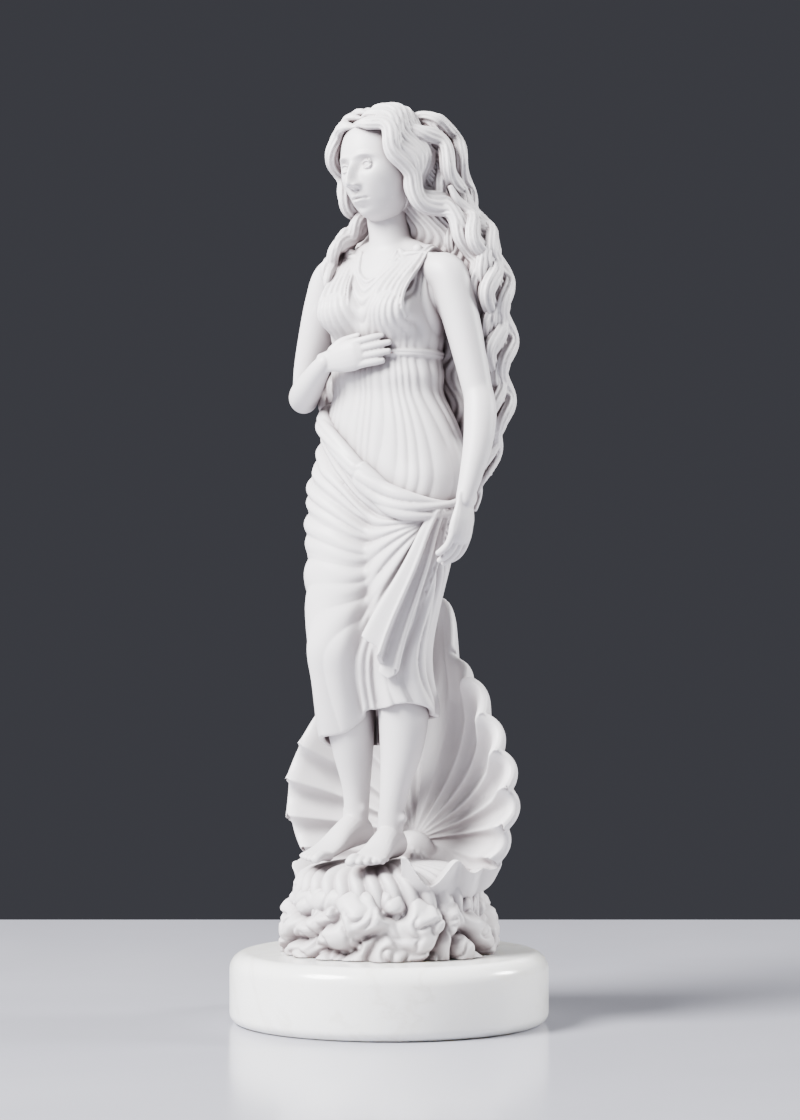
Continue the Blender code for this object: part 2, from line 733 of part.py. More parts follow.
def scalp_point(way, stand):
    """A point off the skull along a direction of the upright head."""
    x, y, z = unit(np.array(way, float))
    half_width, to_face, to_nape, half_height = SKULL
    depth = to_face if y < 0 else to_nape
    return tuple(on_head(((half_width + stand) * x, (depth + stand) * y, (half_height + stand) * z)))


def hair_rings(steps, sides):
    """The mass of hair behind the head and the back, under its locks."""
    heights = np.linspace(HAIR[0][0], HAIR[-1][0], steps)
    angles = np.arange(sides) * math.tau / sides
    return [
        np.stack([cx + a * np.sin(angles), cy + b * np.cos(angles), np.full(sides, z)], axis=1)[::-1]
        for z, cx, cy, a, b in zip(heights, *column(HAIR, heights))
    ]


def lock_rings(points, radii, swing, length, start, steps, sides, flat=0.75):
    """One lock along a path that swings in waves. Its tip is thin."""
    path = spline(points, steps)
    height = path[:, 2]
    low = smooth_step((880 - height) / 60)
    axis = np.stack([-4 + 14 * low, -4 + 24 * low, np.minimum(height, HEAD_CENTRE[2])], axis=1)
    outward = unit(path - axis)
    along, out, across = frames(path, outward)
    run = np.concatenate([[0], np.cumsum(np.linalg.norm(np.diff(path, axis=0), axis=1))])
    turn = (run / length * math.tau + start)[:, None]
    grow = smooth_step(run / 60)[:, None]
    path = path + grow * swing * (across * np.sin(turn) + 0.35 * out * np.cos(turn + 0.8))
    size = np.interp(np.linspace(0, 1, steps), np.linspace(0, 1, len(radii)), radii)
    along, out, across = frames(path, outward)
    angles = np.arange(sides)[None] * math.tau / sides
    ring = across[:, None] * np.cos(angles)[..., None] + flat * out[:, None] * np.sin(angles)[..., None]
    return path[:, None] + ring * size[:, None, None]


# The half widths of a lock of hair along its length.
LONG_LOCK = (3, 9, 11, 12, 12, 12, 12, 11, 9, 2)
LOOSE_LOCK = (4, 10, 12, 12.5, 12.5, 12, 12, 11, 8, 3)
# Locks that rise from the crown in high waves and fall behind her left shoulder.
RAISED_LOCKS = [
    [(14, -2, 970), (34, 18, 980), (54, 42, 982), (68, 58, 954), (77, 64, 916), (83, 69, 876), (88, 71, 838)]
    + [(99, 66, 795), (107, 60, 740), (110, 58, 680), (104, 60, 620)],
    [(18, -14, 962), (44, -2, 966), (64, 14, 956), (77, 29, 924), (86, 41, 884), (93, 49, 844)]
    + [(105, 51, 800), (113, 50, 745), (112, 52, 690)],
    [(2, 14, 972), (18, 40, 974), (33, 64, 956), (44, 80, 918), (50, 86, 876), (56, 88, 834)]
    + [(64, 86, 785), (72, 84, 730), (76, 84, 670)],
]


def hair_shells(steps, sides):
    """The waves that part on the head and run to her hips, and the loose locks at both sides."""
    scalp = on_head(ball_rings((0, 14, 8), (48, 51, 66), steps=16, sides=24))
    shells = [scalp, np.array(hair_rings(28, 36))]
    for side in (-1, 1):
        for n in range(8):
            share = n / 7
            part = math.radians(46 + 104 * share)
            front, top = -math.cos(part), math.sin(part)
            points = [
                scalp_point((side * 0.02, front, top), 4),
                scalp_point((side * 0.34, front * 0.93, top * 0.93), 11),
                scalp_point((side * 0.7, front * 0.68, top * 0.68), 13),
                scalp_point((side * (0.98 - 0.35 * share), -0.32 + 1.04 * share, 0.1 - 0.04 * share), 11),
                scalp_point((side * (0.96 - 0.45 * share), -0.04 + 0.84 * share, -0.42 + 0.06 * share), 12),
            ]
            if side > 0:
                turn, end = 126 - 15 * n, 520 + 26 * math.sin(2.3 * n)
            else:
                turn, end = -88 + 11 * n, 560 + 30 * math.sin(2.1 * n)
            points += [hair_point(z, turn, 8) for z in (838, 790, 730, 665, 600, end)]
            shells.append(lock_rings(points, LONG_LOCK, 7.5, 74, 0.45 * n + side, steps * 3, sides))
    for n, points in enumerate(RAISED_LOCKS):
        for share in (1, 0.82):
            inner = [(x * share, y * share, z - 50 * (1 - share)) for x, y, z in points]
            shells.append(lock_rings(inner, LOOSE_LOCK, 9, 72, 1.9 * n + 3 * share, steps * 3, sides))
    for n in range(7):
        turn = -66 + 29 * n
        end = 486 + 24 * math.sin(1.9 * n)
        points = [hair_point(z, turn, 13) for z in (890, 850, 805, 750, 690, 630, 570, end)]
        shells.append(lock_rings(points, (4, 11, 13, 13, 12, 11, 3), 12, 78, 1.3 * n, steps * 3, sides))
    for n in range(2):
        inner = 16 * n
        points = [
            (-40 + inner, 34, 862),
            (-64 + inner, 46, 808),
            (-90 + inner, 48, 754),
            (-110 + inner, 40, 694),
            (-118 + inner, 32, 634),
            (-111 + inner, 30, 588 + inner),
            (-104 + inner, 33, 560 + inner),
        ]
        shells.append(lock_rings(points, (8, 11, 12, 12, 11, 9, 3), 9, 72, 1.7 * n, steps * 2, sides))
        points = [
            (-34, 20 + 6 * n, 872),
            (-47 - 2 * n, 6 + 8 * n, 846),
            (-60 - 6 * n, -12 + 8 * n, 822),
            (-70 - 9 * n, -26 + 9 * n, 798),
            (-69 - 12 * n, -37 + 12 * n, 770 + 5 * n),
            (-62 - 12 * n, -44 + 12 * n, 745 + 8 * n),
        ]
        shells.append(lock_rings(points, (10, 11, 11, 10, 8, 2.5), 6, 48, 0.6 + 2 * n, steps * 2, sides))
    return shells


STRAP_SIDES = 100
# The gathered cloth of each shoulder, as rows of x, y, z and half width, from the bust over to the back.
STRAP = [
    (42, -52, 716, 26),
    (43, -61, 734, 24),
    (45, -54, 752, 21),
    (48, -37, 770, 18),
    (52, -18, 787, 15),
    (56, -3, 803, 12.5),
    (57, 10, 808, 12.5),
    (57, 26, 799, 15),
    (54, 42, 780, 19),
    (50, 50, 756, 22),
    (47, 44, 735, 24),
]


def strap_shells(steps):
    """Gathered cloth from the bust up over each shoulder, and its round pin."""
    shells = []
    for side in (-1, 1):
        curve = spline(STRAP, steps) * (side, 1, 1, 1)
        path, widths = curve[:, :3], curve[:, 3]
        along, out, across = frames(path, path - (side * 45, 8, 745))
        depths = 2.6 + 1.2 * bump(widths, 12.5, 3)
        shells.append(ribbon_rings(path, across, out, widths, depths, 7, 4.5, STRAP_SIDES // 2))
        shells.append(ball_rings((side * 55, -9, 805), (7.5, 6, 7.5)))
    return shells


# The outline of the fan below its tongue: degrees from straight up, and share of the spread.
FAN_OUTLINE = [
    (0, 1.25),
    (12, 1.25),
    (25, 1.228),
    (35, 1.143),
    (50, 1.061),
    (62, 1.02),
    (76, 0.935),
    (85, 0.859),
    (95, 0.793),
    (110, 0.783),
    (130, 0.837),
    (152, 0.891),
]


def lip_height(turn):
    """How high the low lip stands over the rock, by its angle from the top of the fan in degrees."""
    offset = np.abs(turn)
    wave = LIP_WAVE * smooth_step((offset - 112) / 14) * np.cos(math.tau * (offset - 126) / 26)
    rise = LIP_RISE * (1 + 0.3 * (1 - smooth_step((offset - 100) / 25)))
    left = rise + wave + 0.4 * LIP_WAVE * bump(offset, 150, 4)
    right = rise * (1 - 0.75 * smooth_step((offset - 126) / 24)) + 0.15 * wave
    return np.where(turn > 0, left, right)


def shell_sheets(radial, around):
    """The shell's inner and outer face: grids of points from the hinge out and along the rim."""
    reach = FAN_OUTLINE[-1][0]
    degrees = np.linspace(-reach, reach, around)
    turn, offset = np.radians(degrees), np.abs(degrees)
    scoop = np.sqrt(np.sin(math.pi * (degrees / reach * SHELL_RIBS / 2 + 0.5)) ** 2 + 0.04) - 0.6
    tongue = (SHELL_RISE - FAN_OUTLINE[0][1] * SHELL_SPREAD) * np.exp(-((offset / 6.5) ** 2))
    far = column(FAN_OUTLINE, offset)[0] * SHELL_SPREAD + tongue
    upright = np.cos(turn / 2) ** 2
    low = smooth_step((offset - 84) / 34)
    flare = np.where(turn > 0, 0.09, 0.02)
    foot = np.where(turn > 0, 0.84, 0.93)
    crest = ROCK_TOP + lip_height(degrees)
    bottom = ROCK_TOP - 0.1 * CUSHION_RISE
    hinge = SOLE + HINGE_RISE
    inner, outer = [], []
    for share in np.linspace(0.03, 1, radial):
        deep = SHELL_RIB_DEPTH * (0.15 + 0.85 * share) * min(1, share * 5) * scoop
        reach_here = (far + 0.4 * deep) * share
        x = reach_here * np.sin(turn)
        lean = 0.8 * upright * share**1.1 + 0.5 * math.sin(math.pi * share * 0.9)
        lean = lean - 0.9 * upright * max(0, share - 0.75)
        wrap = SHELL_WRAP * (1 - np.exp(-((x / (0.41 * SHELL_SPREAD)) ** 2))) * share**1.5
        y_up = HINGE_BACK + SHELL_DEPTH * lean - wrap + deep
        y_low = HINGE_BACK + reach_here * np.cos(turn) * 0.93
        z_up = hinge + reach_here * np.cos(turn)
        floor = hinge + (ROCK_TOP + 0.2 * CUSHION_RISE - hinge) * smooth_step(share * 1.6)
        floor = floor + 0.5 * deep * smooth_step((0.9 - share) / 0.4)
        z_low = floor + (crest - floor) * smooth_step((share - 0.55) / 0.45)
        inner.append(np.stack([x, y_up * (1 - low) + y_low * low, z_up * (1 - low) + z_low * low], axis=1))
        out = 1 + flare * smooth_step((share - 0.6) / 0.4)
        skirt = bottom + (crest - bottom) * smooth_step((share - foot) / (1 - foot))
        outer.append(np.stack([x * out, HINGE_BACK + (y_low - HINGE_BACK) * out, skirt], axis=1))
    inner, outer = np.array(inner), np.array(outer)
    normal = unit(np.cross(np.gradient(inner, axis=1), np.gradient(inner, axis=0)))
    edge = np.clip((np.linspace(0.03, 1, radial) - 0.94) / 0.06, 0, 1)
    wall = SHELL_WALL * np.linspace(0.8, 1.25, radial)
    rounding = np.sqrt(1 - 0.92 * edge**2)
    upper = inner - normal * (wall * (1 - rounding) / 2)[:, None, None]
    behind = inner - normal * (wall * (1 + rounding) / 2)[:, None, None]
    low = low[None, :, None]
    return upper * (1 - low) + inner * low, behind * (1 - low) + outer * low


def add_shell(clay, radial, around):
    """The shell as a wall: its inner and its outer face, joined round the rim."""
    inner, outer = shell_sheets(radial, around)
    sheets = np.concatenate([inner, outer[::-1]])
    rows = len(sheets)
    start = clay.count
    clay.points.append(sheets.reshape(-1, 3))
    for j in range(rows):
        for i in range(around - 1):
            a = start + j * around + i
            b = start + ((j + 1) % rows) * around + i
            clay.faces.append((a, a + 1, b + 1, b))
    for edge in (0, around - 1):
        line = [start + j * around + edge for j in range(rows)]
        for j in range(radial - 1):
            face = (line[j], line[j + 1], line[rows - 2 - j], line[rows - 1 - j])
            clay.faces.append(face if edge == 0 else face[::-1])
    clay.count += rows * around


def cushion_rings(steps, sides):
    """The low fluted half of the shell under her feet, which spills over the rock in front."""
    angles = np.arange(sides) * math.tau / sides
    rings = []
    bottom = ROCK_TOP - 0.8 * CUSHION_RISE
    for share in np.linspace(1, 0.02, steps):
        turn = share * math.pi / 2
        flutes = pleat(2 * CUSHION_FLUTES * (angles / math.tau) + 0.5 - 1.5 * share)
        inward = FLUTE_DEPTH * (1 - flutes) * min(1, share * 1.6)
        spread = math.sin(turn) ** 0.6
        x = (CUSHION_HALF_WIDTH * spread - inward) * np.sin(angles)
        y = -(CUSHION_DEPTH * spread - inward) * np.cos(angles) - FIGURE_FORWARD
        z = bottom + (SOLE - bottom) * math.cos(turn) ** 0.35 * np.ones(sides) - 0.3 * inward
        rings.append(np.stack([x, y, z], axis=1))
    return rings


def crumple(point, size):
    """0 in the creases and 1 on the rounded crowns of winding lumps of about the given size."""
    here = Vector(point) / size
    bend = noise.noise_vector(here * 0.8) * 0.55
    fall = 1 - min(1.0, 2.5 * abs(noise.noise(here + bend)))
    return 1 - fall * fall


def rock_rings(steps, sides):
    """The rockwork: a drum with a rounded top edge, whose skin swells in two sizes of lumps."""
    noise.seed_set(ROCK_SEED)
    radius = ROCK_DIAMETER / 2 - ROCK_RELIEF * 0.6
    angles = np.arange(sides) * math.tau / sides
    path = [(radius * 0.5, -ROCK_CUT), (radius, -ROCK_CUT)]
    path += [(radius, (ROCK_HEIGHT - ROCK_EDGE) * s) for s in np.linspace(0, 1, steps)]
    path += [
        (radius - ROCK_EDGE * (1 - math.cos(a)), ROCK_HEIGHT - ROCK_EDGE * (1 - math.sin(a)))
        for a in np.linspace(0.2, math.pi / 2, steps // 2)
    ]
    path += [(radius * s, ROCK_HEIGHT) for s in np.linspace(0.8, 0.1, steps // 2)]
    rings = []
    for r, h in path:
        ring = []
        up = min(1.0, max(0.0, (h - ROCK_HEIGHT + ROCK_EDGE) / ROCK_EDGE))
        for a in angles:
            point = np.array((r * math.sin(a), -r * math.cos(a), ROCK_BASE + h))
            away = np.array((math.sin(a) * (1 - 0.8 * up), -math.cos(a) * (1 - 0.8 * up), up))
            swell = 0.8 * crumple(point, ROCK_LUMP) + 0.25 * crumple(point + 0.1, ROCK_LUMP * 0.45)
            ring.append(point + away * ROCK_RELIEF * (swell - 0.4) * (1 - 0.35 * up))
        rings.append(ring)
    return rings


def limbs_mesh():
    """Trunk, neck, arms and legs, fused softly."""
    clay = Clay()
    clay.add_rings(trunk_rings(40, 32))
    for centre, radii in BREASTS:
        clay.add_rings(ball_rings(centre, radii))
    for limb in (
        LEFT_LEG,
        RIGHT_LEG,
        LEFT_UPPER_ARM,
        LEFT_FOREARM,
        RIGHT_UPPER_ARM,
        RIGHT_FOREARM,
        YOKE,
        NECK,
    ):
        clay.add_rings(tube_rings(limb, 28, 18))
    for x, y, z in ((29, -44, 278), (-41, -78, 278)):
        clay.add_rings(ball_rings((x, y, z), (17, 10, 20)))
    return fused(clay, "limbs", LIMB_VOXEL, 5)


def statue_clay():
    """Every shell of the statuette."""
    clay = Clay()
    clay.add_mesh(limbs_mesh())
    cover = Cover()
    clay.add_rings(mantle_rings(cover, 60, 180))
    clay.add_rings(gathered_rings(cover, 16), flat_ends=True)
    clay.add_rings(tunic_rings(cover, 44, 180))
    clay.add_rings(belt_rings(cover, 48))
    for rings in roll_shells(cover, 60, 10):
        clay.add_rings(rings)
    for rings in strap_shells(40):
        clay.add_rings(rings, flat_ends=len(rings[0]) == STRAP_SIDES)
    clay.add_rings(head_points(48, 60))
    for rings in eye_shells(24, 32) + hair_shells(20, 15):
        clay.add_rings(rings)
    for rings in hand_rings((-46, -77, 657), (0.93, 0.16, 0.2), (0.1, 1, 0.05), 6, 1):
        clay.add_rings(rings)
    for rings in hand_rings((146, -34, 476), (-0.1, -0.12, -1), (-1, 0.1, 0), 16, 1):
        clay.add_rings(rings)
    for rings in foot_rings((13, -10), (0.25, -0.97), 0, 1) + foot_rings((-54, 2), (-0.03, -1), 14, -1):
        clay.add_rings(rings)
    add_shell(clay, 28, 273)
    beak = (0, HINGE_BACK, SOLE)
    clay.add_rings(ball_rings(beak, (2.4 * SHELL_WALL, 1.6 * SHELL_WALL, HINGE_RISE + SHELL_WALL)), METRES)
    clay.add_rings(cushion_rings(16, 192), METRES)
    clay.add_rings(rock_rings(14, 160), METRES)
    return clay


def flat_below(mesh, height):
    """Cuts the mesh flat at a height and closes the cut."""
    work = bmesh.new()
    work.from_mesh(mesh)
    every = work.verts[:] + work.edges[:] + work.faces[:]
    bmesh.ops.bisect_plane(
        work, geom=every, dist=1e-7, plane_co=(0, 0, height), plane_no=(0, 0, 1), clear_inner=True
    )
    open_edges = [e for e in work.edges if e.is_boundary]
    bmesh.ops.contextual_create(work, geom=open_edges)
    bmesh.ops.triangulate(work, faces=[f for f in work.faces if len(f.verts) > 3])
    bmesh.ops.recalc_face_normals(work, faces=work.faces[:])
    work.to_mesh(mesh)
    work.free()


def material(name, colour, roughness):
    made = bpy.data.materials.new(name)
    made.use_nodes = True
    shader = made.node_tree.nodes["Principled BSDF"]
    shader.inputs["Base Color"].default_value = (*colour, 1)
    shader.inputs["Roughness"].default_value = roughness
    shader.inputs["Metallic"].default_value = 0
    return made


def enlarge(mesh, back=False):
    """Enlarges the space round each fine place, or puts it back. Farther out, the space stays the same."""
    co = np.empty(len(mesh.vertices) * 3)
    mesh.vertices.foreach_get("co", co)
    co = co.reshape(-1, 3)
    for place, reach, size in reversed(FINE_PLACES) if back else FINE_PLACES:
        centre = np.array(FIGURE @ Vector(place))
        true = np.array([0, 1, FINE_FADE, FINE_FADE**3]) * reach * FIGURE_HEIGHT / 1000
        drawn = true * (1, size, 1, 1)
        away = co - centre
        distance = np.linalg.norm(away, axis=1, keepdims=True)
        moved = np.interp(distance, drawn, true) if back else np.interp(distance, true, drawn)
        co = centre + away * moved / distance
    mesh.vertices.foreach_set("co", co.ravel())


def statuette():
    """The cast piece: fused, thinned to its number of triangles, and cut flat where it meets the plinth."""
    lump = statue_clay().make("statuette_clay")
    enlarge(lump.data)
    fuse = lump.modifiers.new("Fuse", "REMESH")
    fuse.mode = "VOXEL"
    fuse.voxel_size = STATUE_VOXEL
    graph = bpy.context.evaluated_depsgraph_get()
    fused_triangles = 2 * len(lump.evaluated_get(graph).data.polygons)
    thin = lump.modifiers.new("Thin", "DECIMATE")
    thin.ratio = STATUE_TRIANGLES / fused_triangles
    mesh = evaluated_mesh(lump, "statuette")
    enlarge(mesh, back=True)
    flat_below(mesh, ROCK_BASE)
    mesh.shade_smooth()
    mesh.set_sharp_from_angle(angle=math.radians(60))
    mesh.materials.clear()
    mesh.materials.append(material("bonded_marble", (0.78, 0.77, 0.77), 0.5))
    made = bpy.data.objects.new("statuette", mesh)
    bpy.context.scene.collection.objects.link(made)
    return made


def plinth():
    """The turned plinth, spun from half of its profile."""
    radius = PLINTH_DIAMETER / 2
    profile = [(0, 0)]
    profile += [
        (
            radius - PLINTH_FOOT_RADIUS * (1 - math.cos(a)),
            PLINTH_FOOT_RADIUS * (1 - math.sin(a)),
        )
        for a in np.linspace(math.pi / 2, 0, 5)
    ]
    profile += [
        (
            radius - PLINTH_EDGE_RADIUS * (1 - math.cos(a)),
            PLINTH_HEIGHT - PLINTH_EDGE_RADIUS * (1 - math.sin(a)),
        )
        for a in np.linspace(0, math.pi / 2, 7)
    ]
    profile += [(0, PLINTH_HEIGHT)]
    work = bmesh.new()
    points = [work.verts.new((r, 0, z)) for r, z in profile]
    edges = [work.edges.new(pair) for pair in zip(points, points[1:])]
    bmesh.ops.spin(
        work,
        geom=points + edges,
        cent=(0, 0, 0),
        axis=(0, 0, 1),
        angle=math.tau,
        steps=PLINTH_SEGMENTS,
        use_merge=True,
    )
    bmesh.ops.remove_doubles(work, verts=work.verts[:], dist=1e-6)
    bmesh.ops.recalc_face_normals(work, faces=work.faces[:])
    mesh = bpy.data.meshes.new("plinth")
    work.to_mesh(mesh)
    work.free()
    mesh.shade_smooth()
    mesh.set_sharp_from_angle(angle=math.radians(40))
    mesh.materials.append(material("alabaster", (0.86, 0.85, 0.82), 0.25))
    made = bpy.data.objects.new("plinth", mesh)
    bpy.context.scene.collection.objects.link(made)
    return made


for old in list(bpy.data.objects):
    bpy.data.objects.remove(old)
plinth()
statuette()
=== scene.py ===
import math

import bpy
import numpy as np
from mathutils import Matrix, Vector, noise


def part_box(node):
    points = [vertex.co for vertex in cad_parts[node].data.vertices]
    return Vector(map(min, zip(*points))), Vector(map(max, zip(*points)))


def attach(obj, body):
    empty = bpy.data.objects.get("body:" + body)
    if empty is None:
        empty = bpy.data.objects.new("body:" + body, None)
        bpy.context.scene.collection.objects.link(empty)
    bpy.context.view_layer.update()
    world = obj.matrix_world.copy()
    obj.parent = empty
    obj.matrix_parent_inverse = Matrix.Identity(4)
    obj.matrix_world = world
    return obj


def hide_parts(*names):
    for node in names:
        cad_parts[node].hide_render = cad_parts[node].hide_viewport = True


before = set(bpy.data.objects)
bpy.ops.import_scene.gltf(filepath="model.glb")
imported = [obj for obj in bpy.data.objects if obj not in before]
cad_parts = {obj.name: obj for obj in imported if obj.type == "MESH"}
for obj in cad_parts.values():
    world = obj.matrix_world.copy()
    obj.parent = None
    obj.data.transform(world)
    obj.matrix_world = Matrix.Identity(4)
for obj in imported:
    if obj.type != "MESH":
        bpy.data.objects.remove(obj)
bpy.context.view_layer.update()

# The looks of a marble statuette and its turned plinth. Places on the figure are thousandths of her height,
# from her soles up. The shell, the rockwork and all other sizes are in metres.
nodeBox = {name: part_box(name) for name in ("statuette", "plinth")}
coarseness = 1
metres = Matrix.Identity(4)
print("frame loaded")


def pickOnly(obj):
    bpy.ops.object.select_all(action="DESELECT")
    obj.select_set(True)
    bpy.context.view_layer.objects.active = obj


def applyAll(obj):
    pickOnly(obj)
    for modifier in list(obj.modifiers):
        bpy.ops.object.modifier_apply(modifier=modifier.name)


# Closed shells of points and faces, which are fused into one solid later.
class Clay:
    def __init__(self):
        self.points = []
        self.faces = []
        self.count = 0

    # A closed shell through rings of points, an array (rings, sides, 3). Each end is closed round a point
    # in its middle or, with flatEnds, straight across a flattened ring.
    def addRings(self, rings, place=None, flatEnds=False):
        rings = np.asarray(rings, float)
        steps, sides = rings.shape[:2]
        points = rings.reshape(-1, 3)
        if not flatEnds:
            points = np.vstack([points, rings[0].mean(0), rings[-1].mean(0)])
        matrix = np.array(figurePlace if place is None else place)
        self.points.append(points @ matrix[:3, :3].T + matrix[:3, 3])
        first = self.count + steps * sides
        for j in range(steps - 1):
            for i in range(sides):
                a = self.count + j * sides + i
                b = self.count + j * sides + (i + 1) % sides
                self.faces.append((a, b, b + sides, a + sides))
        lastRing = self.count + (steps - 1) * sides
        if flatEnds:
            for i in range(sides // 2 - 1):
                strip = (i + 1, i, sides - 1 - i, sides - 2 - i)
                self.faces.append(tuple(self.count + v for v in strip))
                self.faces.append(tuple(lastRing + v for v in strip[::-1]))
        else:
            for i in range(sides):
                nxt = (i + 1) % sides
                self.faces.append((self.count + nxt, self.count + i, first))
                self.faces.append((lastRing + i, lastRing + nxt, first + 1))
        self.count += len(points)

    # The points and faces of a mesh that is already in place, in metres.
    def addMesh(self, mesh):
        co = np.empty(len(mesh.vertices) * 3)
        mesh.vertices.foreach_get("co", co)
        self.points.append(co.reshape(-1, 3))
        self.faces += [tuple(self.count + v for v in p.vertices) for p in mesh.polygons]
        self.count += len(mesh.vertices)

    def make(self, name):
        mesh = bpy.data.meshes.new(name)
        mesh.from_pydata(np.vstack(self.points).tolist(), [], self.faces)
        made = bpy.data.objects.new(name, mesh)
        bpy.context.scene.collection.objects.link(made)
        return made


# One skin round all the shells of the clay, with softened creases, thinned to a number of triangles.
def fused(clay, name, look):
    lump = clay.make(name)
    fuse = lump.modifiers.new("fuse", "REMESH")
    fuse.mode = "VOXEL"
    fuse.voxel_size = look["voxel"] * coarseness
    soften = lump.modifiers.new("soften", "SMOOTH")
    soften.factor = 0.5
    soften.iterations = look["soften"]
    applyAll(lump)
    share = look["triangles"] / (2 * len(lump.data.polygons))
    if share < 1:
        thin = lump.modifiers.new("thin", "DECIMATE")
        thin.ratio = share
        applyAll(lump)
    return lump


# Hands a finished piece to the frame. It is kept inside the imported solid's box.
def handOver(obj, paint, node="statuette"):
    low, high = (np.array(corner) for corner in nodeBox[node])
    co = np.empty(len(obj.data.vertices) * 3)
    obj.data.vertices.foreach_get("co", co)
    co = np.clip(co.reshape(-1, 3), low, high)
    obj.data.vertices.foreach_set("co", co.ravel())
    obj.data.validate()
    obj.data.shade_smooth()
    obj.data.materials.clear()
    obj.data.materials.append(paint)
    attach(obj, "root")
    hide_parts(node)
    print(obj.name, "has", sum(len(p.vertices) - 2 for p in obj.data.polygons), "triangles")


# A Catmull-Rom curve through the rows of numbers, read at even steps.
def spline(rows, count):
    rows = np.asarray(rows, float)
    padded = np.vstack([2 * rows[0] - rows[1], rows, 2 * rows[-1] - rows[-2]])
    t = np.linspace(0, len(rows) - 1, count)
    i = np.minimum(t.astype(int), len(rows) - 2)
    f = (t - i)[:, None]
    a, b, c, d = padded[i], padded[i + 1], padded[i + 2], padded[i + 3]
    return 0.5 * (2 * b + (c - a) * f + (2 * a - 5 * b + 4 * c - d) * f**2 + (3 * b - a - 3 * c + d) * f**3)


def unit(v):
    return v / np.maximum(np.linalg.norm(v, axis=-1, keepdims=True), 1e-9)


# The angle of each side of a ring.
def ringAngles(sides):
    return np.arange(sides) * math.tau / sides


# An oval round each point of a path. size is its half width, for each point or for each point and side.
def ovals(path, across, out, size, angles, flat=1.0):
    ring = across[:, None] * np.cos(angles)[:, None] + flat * out[:, None] * np.sin(angles)[:, None]
    return path[:, None] + ring * size[..., None]


# Unit vectors along, outward and across at each point of a path.
def frames(path, outward):
    along = unit(np.gradient(path, axis=0))
    out = np.array(outward, float)
    if out.ndim == 1:
        out = np.repeat(out[None], len(path), axis=0)
    out = unit(out - along * (out * along).sum(1, keepdims=True))
    return along, out, np.cross(along, out)


# Rings round a path of rows (x, y, z, radius), rounded at both ends. flat is the thickness over the width.
def tubeRings(rows, steps, sides, outward=(0, -1, 0), flat=1.0):
    curve = spline(rows, steps)
    path, radius = curve[:, :3], np.maximum(curve[:, 3], 1e-5)
    along, out, across = frames(path, outward)
    cap = np.radians([75, 50, 25])
    centre = np.vstack(
        [
            [path[0] - along[0] * radius[0] * flat * math.sin(a) for a in cap],
            path,
            [path[-1] + along[-1] * radius[-1] * flat * math.sin(a) for a in cap[::-1]],
        ]
    )
    size = np.concatenate([radius[0] * np.cos(cap), radius, radius[-1] * np.cos(cap[::-1])])
    pick = np.clip(np.arange(len(centre)) - len(cap), 0, steps - 1)
    return ovals(centre, across[pick], out[pick], size[:, None], ringAngles(sides), flat)


# An ellipsoid.
def ballRings(centre, radii, steps=12, sides=18):
    lift = np.linspace(-math.pi / 2, math.pi / 2, steps + 2)[1:-1]
    angles = ringAngles(sides)
    ball = np.stack(
        [
            np.outer(np.cos(lift), np.cos(angles)),
            np.outer(np.cos(lift), np.sin(angles)),
            np.outer(np.sin(lift), np.ones(sides)),
        ],
        axis=-1,
    )
    return ball * radii + centre


def bump(x, middle, width):
    return np.exp(-(((x - middle) / width) ** 2))


def smoothStep(x):
    x = np.clip(x, 0, 1)
    return x * x * (3 - 2 * x)


# The rows of a table read at heights, on a smooth curve through them.
def column(table, heights):
    table = np.array(table, float)
    fine = spline(table, 12 * (len(table) - 1) + 1)
    return [np.interp(heights, fine[:, 0], fine[:, k]) for k in range(1, table.shape[1])]


# A socket of a node tree. Sums on it add Math nodes, and node() adds any other node.
class Wire:
    def __init__(self, tree, socket=None):
        self.tree = tree
        self.socket = socket

    def node(self, kind, settings=(), inputs=(), out=0):
        made = self.tree.nodes.new(kind)
        for name, value in dict(settings).items():
            setattr(made, name, value)
        for name, value in dict(inputs).items():
            self.feed(made.inputs[name], value)
        return Wire(self.tree, made.outputs[out])

    def feed(self, socket, value):
        if isinstance(value, Wire):
            self.tree.links.new(value.socket, socket)
        else:
            socket.default_value = value

    def sum(self, operation, first, second):
        return self.node("ShaderNodeMath", {"operation": operation}, {0: first, 1: second})

    def clamped(self):
        return self.node("ShaderNodeClamp", (), {"Value": self})

    def clouds(self, place, look):
        return self.node("ShaderNodeTexNoise", (), {"Vector": place, **look})

    # 1 where nothing is near, and lower in hollows of about the given reach.
    def openness(self, reach):
        return self.node("ShaderNodeAmbientOcclusion", {"samples": 8}, {"Distance": reach}, out=1)

    def __add__(self, other):
        return self.sum("ADD", self, other)

    def __radd__(self, other):
        return self.sum("ADD", other, self)

    def __sub__(self, other):
        return self.sum("SUBTRACT", self, other)

    def __rsub__(self, other):
        return self.sum("SUBTRACT", other, self)

    def __mul__(self, other):
        return self.sum("MULTIPLY", self, other)

    def __pow__(self, other):
        return self.sum("POWER", self, other)


# Colour a where share is 0 and colour b where it is 1.
def blend(a, b, share):
    mix = share.node("ShaderNodeMix", {"data_type": "RGBA"})
    made = mix.socket.node
    share.feed(made.inputs[0], share)
    share.feed(made.inputs[6], a)
    share.feed(made.inputs[7], b)
    return Wire(share.tree, made.outputs[2])


def newPaint(name, surface=()):
    paint = bpy.data.materials.new(name)
    paint.use_nodes = True
    tree = paint.node_tree
    wire = Wire(tree)
    place = wire.node("ShaderNodeTexCoord", out=3)
    shader = tree.nodes["Principled BSDF"]
    for socket, value in dict(surface).items():
        shader.inputs[socket].default_value = value
    return paint, wire, place, shader


